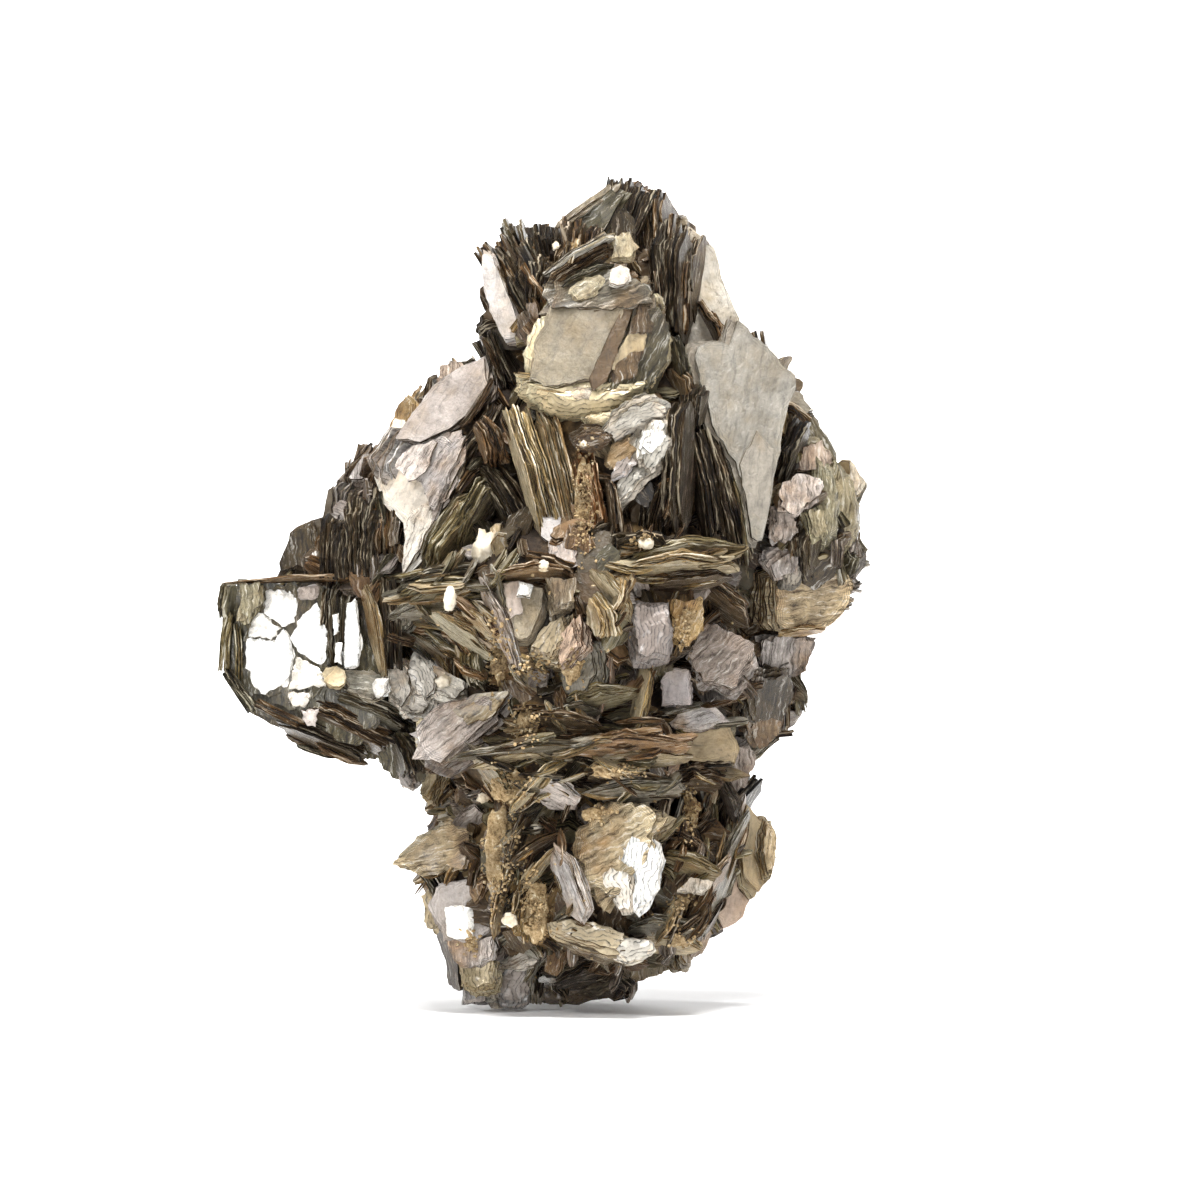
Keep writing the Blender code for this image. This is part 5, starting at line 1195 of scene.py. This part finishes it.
# the foot, down to the flat break
footBooks = {
    "plates": [
        ("foot lilac", (-5.5, 4), 7, (0, 0.2, 0.98), 4,
         [(-9, 6), (-6.5, 8.8), (-2.5, 7.5), (-2, 2.5), (-4.5, 0.3), (-8, 1)], "lilac", "waves", (0.3, 1)),
        ("foot tan", (18, 8), 5, (0.2, 0.1, 0.95), 5,
         [(14, 9.5), (20, 11.5), (24, 9.6), (22, 6.5), (16, 5)], "tan", "ragged"),
        ("foot left plate", (-13.5, 3), 3, (-0.2, 0.1, 0.97), 3,
         [(-15, 1), (-14.6, 5), (-11, 5.4), (-10.6, 1.4)], "lilac", "ragged"),
        ("foot dark face", (5, 3.6), 4.6, (0.05, 0.1, 0.98), 3,
         [(-1.6, 1), (-1, 6), (3, 7.6), (9, 7.2), (14, 5.4), (12.6, 2.2), (6, 0.7)], "umber",
         "waves", (1, 0.25)),
        ("foot dark chip", (9.6, 4.6), 5.6, (0.2, 0.2, 0.95), 1.6,
         [(6.6, 3.4), (8, 6.6), (12.4, 6.4), (13, 4), (9.6, 2.2)], "slate", "ragged", (0.9, 0.4)),
        ("foot web", (-9.6, 4.6), 3.6, (-0.1, 0.15, 0.98), 3,
         [(-13, 7.4), (-9, 9.4), (-6.4, 7.6), (-6, 2), (-9, 0.6), (-12, 2.4)], "pearl", "ragged"),
        ("foot chip", (-4.6, 9.4), 7.4, (0.1, 0.3, 0.94), 1.2,
         [(-7.4, 8.4), (-5.4, 11.2), (-1.6, 10.8), (-1.4, 8.4), (-4.4, 7.6)], "bone", "ragged", (0.9, 0.4)),
    ],
    "stacks": [
        ("grey slats", (22, 15.5), 7.5, (1, -0.02), 0.45, (13, 10, 2), 0.4, "grey", "blade"),
        ("grey slats low", (22, 13), 7, (1, -0.1), 0.45, (13, 10, 1.8), 0.4, "cream", "blade"),
        ("low fan", (24.5, 10.5), 5, (-0.3, 1), 0.45, (8, 8, 3), 0.3, "tan", "ragged"),
        ("low fan right", (27.5, 12.5), 5, (0.5, 0.86), 0.45, (7, 7, 2), 0.4, "brown", "blade"),
        ("left rim", (-16.5, 9), 3, (0.3, -0.95), 0.4, (12, 8, 2), 0.3, "umber", "ragged"),
        ("dark foot", (7, 7.5), 5, (0.9, 0.3), 0.5, (12, 9, 4), 0.3, "ink", "ragged"),
        ("dark foot right", (12, 5), 3, (0.9, -0.2), 0.5, (8, 8, 3), 0.3, "ink", "ragged"),
        ("foot slats", (-0.5, 4.5), 5.5, (0.15, 1), 0.5, (7, 8, 2), 0.1, "pearl", "ragged"),
        ("foot fan", (3, 4.5), 5, (-0.3, 1), 0.5, (7, 7, 2.4), 0.2, "grey", "ragged"),
    ],
    "curls": [
        ("white fan", (1.5, 6.5), 7, (0.1, 0.3, 0.94), (1, 0.2), (6, 3.4, 2.4), "silver", "ragged"),
        ("foot curl", (-9, 9.5), 7, (0, 0.3, 0.95), (1, 0), (6, 3.6, 2.4), "pearl", "ragged"),
    ],
}
growPiece("footBooks", **footBooks)

# books that cover the back and the sides: where each is drawn, as in the part
wraps = {
    "seed": 11,
    "perLump": {
        "crown": 4, "crown left": 2, "cap core": 0, "upper body": 9, "right shoulder": 7,
        "left shoulder": 7, "middle": 11, "waist": 8, "lower": 9, "left arm": 5, "left elbow": 4,
        "right bulge": 5, "right hip": 3,
    },
    "length": (15, 28), "thickness": (3.5, 7), "narrowness": 0.62, "pointed": 0.2, "flatShare": 0.5,
    "heights": (-0.9, 0.9), "turns": (radians(-30), radians(210)), "coarse": 1.4,
    "lean": {"flat": 0.5, "edge": 0.25, "edgeAlong": 0.6}, "lowest": 4, "margin": 1,
    "pieces": {"backBooksHigh": (75, 200), "backBooksLow": (0, 75)},
}
lumpTones = {
    "crown": ("ink", "umber", "brown", "umber"),
    "crown left": ("umber", "ink", "slate"),
    "cap core": ("tan", "brown", "umber", "olive"),
    "upper body": ("umber", "brown", "olive", "mauve"),
    "right shoulder": ("mauve", "umber", "tan", "grey"),
    "left shoulder": ("lilac", "umber", "tan", "slate"),
    "middle": ("umber", "olive", "tan", "mauve", "brown"),
    "waist": ("umber", "olive", "brown", "mauve", "tan"),
    "lower": ("umber", "olive", "brown", "grey", "mauve"),
    "left arm": ("olive", "umber", "grey", "tan"),
    "left elbow": ("umber", "brown", "mauve"),
    "right bulge": ("mauve", "tan", "grey", "olive"),
    "right hip": ("umber", "grey", "mauve"),
}


def insideOtherLump(point, lump):
    return any(name != lump and lumpReach(point, *row) < 1 for name, row in coreLumps.items())


def withinOutline(place, corners):
    # whether a book on the back stays out of sight behind the cluster's outline
    for corner in corners:
        spot = place @ Vector((corner[0], corner[1], 0))
        if not wraps["lowest"] < spot.z < outlineRows[0][0]:
            return False
        above = [row for row in outlineRows if row[0] >= spot.z][-1]
        below = [row for row in outlineRows if row[0] < spot.z][0]
        share = (spot.z - below[0]) / (above[0] - below[0])
        left = below[1] + share * (above[1] - below[1])
        right = below[2] + share * (above[2] - below[2])
        if not left + wraps["margin"] < spot.x < right - wraps["margin"]:
            return False
    return True


def wrapPlaces(lump, centre, half):
    draw = random.Random(f"{lump} {wraps['seed']}")
    lean, placed = wraps["lean"], 0
    while placed < wraps["perLump"][lump]:
        height = draw.uniform(*wraps["heights"])
        turn = draw.uniform(*wraps["turns"])
        ring = sqrt(1 - height * height)
        way = Vector((cos(turn) * ring, sin(turn) * ring, height))
        point = onLump(centre, half, way)
        outward = Vector([way[i] / half[i] for i in range(3)]).normalized()
        sheetWay = anyWay(draw)
        if draw.random() < wraps["flatShare"]:
            place, style = bookFrame(point, outward + lean["flat"] * sheetWay, sheetWay), "slab"
        else:
            normal = outward.cross(sheetWay) + lean["edge"] * outward
            place, style = bookFrame(point, normal, outward + lean["edgeAlong"] * sheetWay), "stack"
        length = draw.uniform(*wraps["length"])
        thickness = draw.uniform(*wraps["thickness"])
        name = f"{lump} wrap {placed}"
        corners = raggedCorners(name, length, length * wraps["narrowness"], 6, wraps["pointed"])
        if not insideOtherLump(point, lump) and withinOutline(place, corners):
            placed += 1
            yield name, place, corners, thickness, style


def growWraps(pieceName, lowest, highest):
    bm = newPieceMesh()
    for lump, (centre, half) in coreLumps.items():
        shades = lumpTones[lump]
        for number, wrap in enumerate(wrapPlaces(lump, centre, half)):
            name, place, corners, thickness, style = wrap
            if lowest <= place.translation.z < highest:
                growBook(bm, name, place, corners, -thickness / 2, thickness / 2, style,
                         shades[number % len(shades)], 0, wraps["coarse"])
    finishPiece(bm, pieceName)


for pieceName, (lowest, highest) in wraps["pieces"].items():
    growWraps(pieceName, lowest, highest)

# sandy beds between the books: the middle, half width and height, and how many grains of each
sand = {
    "seed": 3, "grain": (0.15, 0.45), "mound": 0.8, "waves": ((1.8, 0.4), (9, 0.16)), "spread": 1.7,
    "ochre": "9a7c4e", "creviceShade": "33261a", "looseGrains": 220, "looseArea": ((-24, 34), (5, 84)),
    "setBack": 0.7, "deep": 1.1, "behind": 4, "grainWidth": (0.5, 1), "grainHeight": (0.2, 0.7),
    "heart": 1.35, "margin": 1.5,
    "beds": [
        ((7, 91), (1.8, 9), 260), ((-8, 29), (3, 10), 420), ((-1.5, 19), (2.6, 6), 300),
        ((-8, 64), (1.8, 6), 160), ((-2, 62), (2.4, 2), 110), ((-3, 52), (2.4, 3), 140),
        ((18, 85), (1.8, 1.3), 30), ((26, 36), (1.6, 4), 110), ((24, 20), (2, 1.8), 70),
        ((25, 70), (2, 3), 60), ((-6, 41), (4, 3), 130), ((9, 36), (3, 1.6), 50), ((5, 62), (2, 3), 60),
        ((-13, 13), (1.6, 2), 50), ((12, 44), (4, 1.6), 70), ((24, 14), (3, 2), 50),
    ],
}


def bedShare(x, z):
    # how much a place belongs to a sandy bed: most in its middle, and nothing a little past its edge
    most, margin = sand["heart"], sand["margin"]
    shares = [most - ((x - bedX) / (wide + margin)) ** 2 - ((z - bedZ) / (tall + margin)) ** 2
              for (bedX, bedZ), (wide, tall), _ in sand["beds"]]
    return max(0, *shares)


# the crumbly ground that shows in the gaps between the books, coloured dark as painted shade in the gaps, and
# ochre where sand stains it
ground = {
    "subdivisions": 4, "size": 0.97, "bumps": ((0.16, 1.1), (0.6, 0.5), (1.9, 0.25)),
    "stainScale": 0.13, "stainShare": 0.45,
}


def packGround():
    bm = newPieceMesh()
    tint = bm.verts.layers.float_color["faceTint"]
    # the dark end is painted shade in the gaps, the ochre end is iron stain
    ends = list(zip(linear(sand["creviceShade"]), linear(sand["ochre"])))
    for centre, half in coreLumps.values():
        made = bmesh.ops.create_icosphere(bm, subdivisions=ground["subdivisions"], radius=1)["verts"]
        for vertex in made:
            way = vertex.co.normalized()
            point = onLump(centre, half, way, ground["size"])
            rise = sum(noise.noise(point * scale) * height for scale, height in ground["bumps"])
            vertex.co = (point + way * rise) * mm
            vertex.co.z = max(vertex.co.z, 0)
            share = min(1, bedShare(point.x, point.z)) if point.y < centre[1] else 0
            stain = max(0, noise.noise(point * ground["stainScale"]) * 2)
            share = max(share, ground["stainShare"] * stain)
            vertex[tint] = [dark + (pale - dark) * share for dark, pale in ends]
    paint(bm, rubbleSlot)
    finishPiece(bm, "groundMass", 180)


packGround()


class Surface:
    # what a ray meets first, and whether it is bare ground
    def __init__(self):
        points, faces, self.bare = [], [], []
        for piece in (o for o in bpy.context.scene.objects if o.name in pieceNames):
            start = len(points)
            points += [v.co / mm for v in piece.data.vertices]
            faces += [[start + i for i in p.vertices] for p in piece.data.polygons]
            self.bare += [p.material_index == rubbleSlot for p in piece.data.polygons]
        self.tree = BVHTree.FromPolygons(points, faces)

    def meet(self, origin, way):
        point, normal, index, _ = self.tree.ray_cast(origin, way)
        if point is None:
            return None
        return point, normal, self.bare[index]

    def fromFront(self, x, z):
        return self.meet(Vector((x, -200, z)), Vector((0, 1, 0)))


# thin blades and splinters between the big books, zone by zone: middle and reach in mm, how many, the way
# they run and how far they stray from it in degrees, their length, thickness and turn towards the front
blades = {
    "seed": 21, "narrowness": 0.55, "pointed": 0.45, "coarse": 1.35, "apart": 1.3, "setBack": 1.3,
    "tries": 6, "strayShare": 0.6, "sway": (-0.25, 0.25), "lowest": 2, "highFrom": 72,
    "zones": [
        ((-15, 86), (8, 9), 14, 55, 8, (5, 9), (0.8, 1.8), (0.1, 0.35), ("stack", "blade"),
         ("olive", "grey", "slate", "tan")),
        ((-18, 76.5), (9, 3), 12, 8, 9, (7, 12), (0.6, 1.6), (0.1, 0.4), ("blade",),
         ("slate", "tan", "olive")),
        ((-17, 66), (9, 7), 33, -38, 25, (4, 8), (0.7, 1.8), (0.1, 0.5), ("blade", "lens"),
         ("olive", "cream", "brown", "grey", "tan")),
        ((2, 62), (10, 9), 39, -65, 45, (3, 7), (0.7, 1.8), (0.1, 0.5), ("blade", "lens", "ragged"),
         ("olive", "brown", "tan", "grey", "cream", "pink")),
        ((24, 66), (12, 10), 36, 70, 60, (3, 7), (0.7, 1.8), (0.1, 0.5), ("blade", "ragged", "lens"),
         ("umber", "brown", "mauve", "olive", "tan")),
        ((24, 80.5), (12, 4), 18, 6, 12, (6, 12), (0.6, 1.8), (0.1, 0.4), ("blade", "lens"),
         ("olive", "umber", "tan", "cream")),
        ((8, 51), (25, 4), 39, 4, 16, (5, 10), (0.6, 1.6), (0.1, 0.45), ("blade", "lens"),
         ("grey", "brown", "olive", "umber", "tan")),
        ((9, 43), (24, 3.5), 42, 0, 35, (5, 10), (0.6, 1.6), (0.1, 0.45), ("blade", "lens", "ragged"),
         ("umber", "tan", "grey", "olive", "ink", "cream")),
        ((-13, 30), (12, 9), 42, 60, 60, (3, 7), (0.6, 1.6), (0.1, 0.6), ("blade", "ragged"),
         ("tan", "olive", "brown", "sand", "cream")),
        ((-1, 29), (7, 10), 24, 70, 40, (4, 8), (0.6, 1.4), (0.1, 0.4), ("blade",),
         ("umber", "brown", "tan", "slate")),
        ((28, 27), (9, 11), 51, 55, 35, (4, 9), (0.6, 1.6), (0.1, 0.45), ("blade", "lens"),
         ("umber", "olive", "tan", "brown", "mauve")),
        ((4, 7), (19, 6), 66, 80, 60, (3, 6), (0.6, 1.6), (0.1, 0.6), ("ragged", "blade"),
         ("umber", "grey", "ink", "lilac", "mauve")),
        ((-38, 50), (12, 4), 14, -22, 9, (5, 11), (0.6, 1.6), (0.1, 0.4), ("blade", "stack"),
         ("umber", "ink", "moss", "brown")),
        ((-33, 86), (7, 7), 14, 88, 12, (4, 8), (0.8, 2.0), (0.1, 0.4), ("stack", "ragged"),
         ("ink", "umber", "moss", "mauve")),
        ((-5, 131), (5, 6), 8, 120, 10, (5, 9), (0.8, 1.6), (0.1, 0.3), ("stack",),
         ("ink", "umber", "brown")),
        ((4, 137), (7, 2.5), 8, 92, 16, (3, 6), (0.7, 1.6), (0.1, 0.3), ("stack", "ragged"),
         ("ink", "umber", "brown", "tan")),
        ((25, 130), (5, 9), 10, 88, 9, (5, 10), (0.7, 1.6), (0.1, 0.3), ("stack",),
         ("ink", "umber", "brown")),
        ((18, 90), (6, 7), 16, 70, 40, (3, 6), (0.6, 1.4), (0.1, 0.4), ("ragged", "blade"),
         ("ink", "umber", "ink", "brown")),
        ((45, 88), (5, 12), 18, 60, 60, (2.5, 5), (0.6, 1.4), (0.3, 1.2), ("ragged", "slab"),
         ("mauve", "grey", "umber", "lilac", "olive")),
        ((54, 90), (3, 14), 7, 80, 30, (3, 6), (0.8, 1.8), (0.3, 0.9), ("curl", "lens"),
         ("olive", "tan", "cream")),
        ((-9, 108), (4, 9), 12, 115, 12, (5, 9), (0.8, 1.8), (0.1, 0.3), ("stack", "blade"),
         ("ink", "umber", "brown")),
        ((-31, 96), (5, 5), 12, 35, 30, (3, 6), (0.8, 1.8), (0.2, 0.8), ("ragged", "slab"),
         ("pink", "mauve", "tan", "umber")),
        ((42, 58), (6, 8), 16, -60, 40, (3, 7), (0.6, 1.6), (0.2, 0.9), ("ragged", "slab"),
         ("umber", "ink", "grey", "mauve")),
    ],
}


def insideOutline(outline, x, z):
    crossings = 0
    for (ax, az), (bx, bz) in zip(outline, outline[1:] + outline[:1]):
        if (az > z) != (bz > z) and x < ax + (z - az) / (bz - az) * (bx - ax):
            crossings += 1
    return crossings % 2 == 1


def isCalm(x, z):
    return any(insideOutline(outline, x, z) for outline in calmOutlines)


def isCrowded(point, grown, apart):
    return any((point - other).length < apart for other in grown)


def growBlades():
    surface, pieces = Surface(), {"bladesHigh": newPieceMesh(), "bladesLow": newPieceMesh()}
    grown = []
    for zone, row in enumerate(blades["zones"]):
        middle, reach, number, runs, stray, lengths, thicknesses, towards, looks, shades = row
        draw = random.Random(f"{blades['seed']} {zone}")
        for _ in range(number * blades["tries"]):
            x = middle[0] + reach[0] * draw.uniform(-1, 1)
            z = middle[1] + reach[1] * draw.uniform(-1, 1)
            turn = radians(draw.gauss(runs, stray * blades["strayShare"]))
            length = draw.uniform(*lengths)
            thickness = draw.uniform(*thicknesses)
            toward = draw.uniform(*towards) * draw.choice((-0.6, 1, 1))  # some turn the other way
            deep, style, tone = draw.uniform(*blades["sway"]), draw.choice(looks), draw.choice(shades)
            meeting = surface.fromFront(x, z)
            if number <= 0 or not meeting or z < blades["lowest"] or isCalm(x, z):
                continue
            if isCrowded(meeting[0], grown, blades["apart"]):
                continue
            grown.append(meeting[0])
            number -= 1
            place = bookFrame(meeting[0] + Vector((0, blades["setBack"], 0)),
                              fromFront(-sin(turn), cos(turn), toward), fromFront(cos(turn), sin(turn), deep))
            name = f"blade {zone} {number}"
            corners = raggedCorners(name, length, length * blades["narrowness"], 6, blades["pointed"])
            bm = pieces["bladesHigh" if z > blades["highFrom"] else "bladesLow"]
            growBook(bm, name, place, corners, -thickness / 2, thickness / 2, style, tone, 0,
                     blades["coarse"])
    print("blades grown:", len(grown))
    for name, bm in pieces.items():
        finishPiece(bm, name)


growBlades()

# small flakes that fill what is still bare between the books, in front and all round
flakes = {
    "seed": 5, "tries": {"Front": 5000, "Round": 4200, "Far": 6000}, "lowest": 3, "farBehind": 4,
    "apart": {"Front": 2.3, "Round": 2.3, "Far": 3.4},
    "length": {"Front": (3.5, 9), "Round": (3.5, 9), "Far": (7, 14)},
    "narrowness": 0.7, "pointed": 0.3, "thickness": (0.8, 2.6), "coarse": 1.7, "turnToFront": 0.6,
    "flat": {"share": 0.45, "proud": 0.8, "lean": 0.5}, "edge": {"proud": 0.5, "lean": 0.3},
    "styles": ("ragged", "blade", "stack", "slab", "lens"),
    "gapShadeTones": ("ink", "umber", "umber", "moss", "brown"), "gapShadeShare": 0.7,
    "area": ((-58, 58), (2, 146)), "start": 60,
    "farTurn": (-20, 200), "farLift": (-20, 70), "farArea": ((-55, 55), (-30, 40), (4, 144)), "farStart": 200,
}


def lumpAt(point):
    return min(coreLumps.items(), key=lambda item: lumpReach(point, *item[1]))[0]


def flakeSpots(draw, surface):
    # rays from the front, then towards each boulder's middle, then from behind, past what stands proud
    for _ in range(flakes["tries"]["Front"]):
        yield surface.fromFront(*(draw.uniform(*span) for span in flakes["area"])), "Front"
    lumps = list(coreLumps.values())
    for _ in range(flakes["tries"]["Round"]):
        centre, half = draw.choice(lumps)
        way = Vector([draw.gauss(0, 1) for _ in range(3)]).normalized()
        yield surface.meet(onLump(centre, half, way) + way * flakes["start"], -way), "Round"
    for _ in range(flakes["tries"]["Far"]):
        turn, lift = radians(draw.uniform(*flakes["farTurn"])), radians(draw.uniform(*flakes["farLift"]))
        way = Vector((cos(turn) * cos(lift), sin(turn) * cos(lift), sin(lift)))
        point = Vector([draw.uniform(*span) for span in flakes["farArea"]])
        yield surface.meet(point + way * flakes["farStart"], -way), "Far"


def growFlakes():
    draw, surface = random.Random(flakes["seed"]), Surface()
    pieces = {side: newPieceMesh() for side in flakes["tries"]}
    flat, edge, grown = flakes["flat"], flakes["edge"], []
    for meeting, side in flakeSpots(draw, surface):
        if not meeting or not meeting[2] or meeting[0].z < flakes["lowest"]:
            continue
        point, normal, _ = meeting
        if isCrowded(point, grown, flakes["apart"][side]):
            continue
        grown.append(point)
        toFront = flakes["turnToFront"] * Vector((0, -1, 0)) * (side == "Front")
        outward = (normal + toFront).normalized()
        sheetWay = anyWay(draw)
        length = draw.uniform(*flakes["length"][side])
        thickness = draw.uniform(*flakes["thickness"])
        if draw.random() < flat["share"]:
            place = bookFrame(point + outward * flat["proud"], outward + flat["lean"] * sheetWay, sheetWay)
        else:
            normal = outward.cross(sheetWay) + edge["lean"] * outward
            place = bookFrame(point + outward * edge["proud"], normal, sheetWay)
        name = f"flake {len(grown)}"
        corners = raggedCorners(name, length, length * flakes["narrowness"], 6, flakes["pointed"])
        if side == "Far" and (point.y < flakes["farBehind"] or not withinOutline(place, corners)):
            continue
        tone = draw.choice(lumpTones[lumpAt(point)])
        # flakes in the gaps seen from the front mostly take dark tones: painted shade in the gaps
        if side == "Front" and draw.random() < flakes["gapShadeShare"]:
            tone = draw.choice(flakes["gapShadeTones"])
        style = draw.choice(flakes["styles"])
        growBook(pieces[side], name, place, corners, -thickness / 2, thickness / 2, style, tone, 0,
                 flakes["coarse"])
    print("flakes grown:", len(grown))
    for side, bm in pieces.items():
        finishPiece(bm, "gapFlakes" + side)


growFlakes()

# chalky lumps here and there
nodules = {
    "waves": ((1.6, 0.45), (4, 0.2)),
    "spots": [
        ((-10.5, 83), (2, 3.2)), ((-16.5, 74), (1.1, 2)), ((0, 80), (1, 1)), ((-18, 59), (1.4, 1.2)),
        ((-11, 38.5), (1.1, 0.9)), ((-1.5, 33.5), (1, 1)), ((-6, 17.5), (1.3, 1.2)), ((-1, 15), (0.9, 0.8)),
        ((18, 84), (1.4, 1.1)), ((2, 136.5), (0.6, 0.9)), ((7, 101.5), (0.6, 0.6)),
    ],
}


def addGrain(bm, draw, spot):
    size = draw.uniform(*sand["grain"])
    width, height = draw.uniform(*sand["grainWidth"]), draw.uniform(*sand["grainHeight"])
    shape = Matrix.Diagonal((size, size * width, size * height, 1))
    turn = Matrix.Rotation(draw.uniform(0, pi), 4, Vector([draw.gauss(0, 1) for _ in range(3)]))
    place = Matrix.Scale(mm, 4) @ Matrix.Translation(spot) @ turn @ shape
    bmesh.ops.create_cone(bm, cap_ends=True, segments=5, radius1=1, radius2=0.8, depth=1.6, matrix=place)


def laySand():
    draw, surface, bm = random.Random(sand["seed"]), Surface(), newPieceMesh()
    for (x, z), (wide, tall), number in sand["beds"]:
        heart = surface.fromFront(x, z)
        if heart:
            middle = heart[0] + Vector((0, sand["setBack"], 0))
            size = Vector((wide, sand["deep"], tall)) * sand["mound"]
            for vertex in bmesh.ops.create_icosphere(bm, subdivisions=4, radius=1)["verts"]:
                rough = lumpy(vertex.co, Vector((x, 0, z)), sand["waves"])
                vertex.co = (middle + vertex.co * size * rough) * mm
        for _ in range(number):
            meeting = surface.fromFront(draw.gauss(x, wide / sand["spread"]),
                                        draw.gauss(z, tall / sand["spread"]))
            if meeting and meeting[0].y < (heart[0].y if heart else 0) + sand["behind"]:
                addGrain(bm, draw, meeting[0] - Vector((0, draw.uniform(0, 1), 0)))
    for _ in range(sand["looseGrains"]):
        x, z = (draw.uniform(*span) for span in sand["looseArea"])
        meeting = surface.fromFront(x, z)
        if meeting and not isCalm(x, z):
            addGrain(bm, draw, meeting[0])
    paint(bm, crumbSlot)
    finishPiece(bm, "sandyBeds", 40)
    return surface


def setNodules(surface):
    bm = newPieceMesh()
    for (x, z), (wide, tall) in nodules["spots"]:
        meeting = surface.fromFront(x, z)
        if meeting:
            size = Vector((wide, (wide + tall) / 2, tall))
            for vertex in bmesh.ops.create_icosphere(bm, subdivisions=3, radius=1)["verts"]:
                rough = lumpy(vertex.co, Vector((x, z, 0)), nodules["waves"])
                vertex.co = (meeting[0] + vertex.co * size * rough) * mm
    paint(bm, noduleSlot)
    finishPiece(bm, "creamNodules", 180)


setNodules(laySand())

# the white sweep it stands on, the soft lights and the camera
studio = {
    "floor": {"wide": 3.0, "front": -6.0, "back": 2.6, "high": 2.2, "bend": 0.5, "shade": 0.93},
    "lights": [
        ("overheadSoftbox", (0.05, -0.35, 1.0), 0.4, 0.35, 19.5),
        ("leftSoftbox", (-0.7, -0.9, 0.9), 0.25, 0.25, 8.0),
        ("rightSoftbox", (0.9, -0.6, 0.8), 0.4, 0.4, 2.5),
        ("cameraSoftbox", (-0.25, -1.5, 0.3), 0.3, 0.3, 6.0),
        ("backdropLeft", (-0.9, 0.9, 1.3), 0.9, 0.9, 60.0),
        ("backdropRight", (0.9, 0.9, 1.3), 0.9, 0.9, 60.0),
    ],
    "world": 0.17, "backdropAim": (0.2, 0.2),
    "lookAt": (0.0099, 0.0, 0.0734), "elevation": 1.0, "distance": 1.6, "seen": 0.216,
    "sensor": 36, "clipEnd": 20,
}


def aim(made, spot, target):
    made.location = spot
    made.rotation_euler = (target - Vector(spot)).to_track_quat("-Z", "Y").to_euler()


def layFloor():
    floor = studio["floor"]
    bm = bmesh.new()
    bmesh.ops.create_grid(bm, x_segments=1, y_segments=1, size=1)
    for vertex in bm.verts:
        vertex.co.x *= floor["wide"]
        vertex.co.y = floor["front"] if vertex.co.y < 0 else floor["back"]
    rise = [e for e in bm.edges if all(v.co.y > 0 for v in e.verts)]
    up = bmesh.ops.extrude_edge_only(bm, edges=rise)["geom"]
    for vertex in (v for v in up if isinstance(v, bmesh.types.BMVert)):
        vertex.co.z += floor["high"]
    corner = [e for e in bm.edges if all(v.co.y > 0 and v.co.z < 0.01 for v in e.verts)]
    bmesh.ops.bevel(bm, geom=corner, offset=floor["bend"], offset_type="OFFSET", affect="EDGES",
                    segments=12, profile=0.5, material=-1)
    g = Graph("whitePaper")
    speckle = g.noise(g.objectSpace(), 700.0, 3.0)
    colour = g.ramp(speckle, [(0.3, floor["shade"]), (0.7, floor["shade"] * 1.02)])
    mesh = meshOf(bm, "whiteSweep")
    mesh.materials.append(g.finish(colour, Roughness=0.9))
    putInScene("whiteSweep", mesh)


def hangLights():
    across, high = studio["backdropAim"]
    for name, spot, wide, tall, power in studio["lights"]:
        light = bpy.data.lights.new(name, "AREA")
        light.shape = "RECTANGLE"
        light.size, light.size_y, light.energy = wide, tall, power
        onWall = Vector((spot[0] * across, studio["floor"]["back"], high))
        aim(putInScene(name, light), spot, onWall if "backdrop" in name else Vector(studio["lookAt"]))
    world = bpy.data.worlds.new("studioAir")
    world.use_nodes = True
    air = world.node_tree.nodes["Background"].inputs
    air["Color"].default_value = (1, 1, 1, 1)
    air["Strength"].default_value = studio["world"]
    bpy.context.scene.world = world


def setCamera():
    lens = bpy.data.cameras.new("camera")
    lens.sensor_width = studio["sensor"]
    lens.lens = studio["sensor"] * studio["distance"] / studio["seen"]
    lens.clip_end = studio["clipEnd"]
    lift, target = radians(studio["elevation"]), Vector(studio["lookAt"])
    camera = putInScene("camera", lens)
    aim(camera, target + studio["distance"] * Vector((0, -cos(lift), sin(lift))), target)
    bpy.context.scene.camera = camera


layFloor()
hangLights()
setCamera()
bpy.context.scene.view_settings.view_transform = "Standard"
print("studio set")
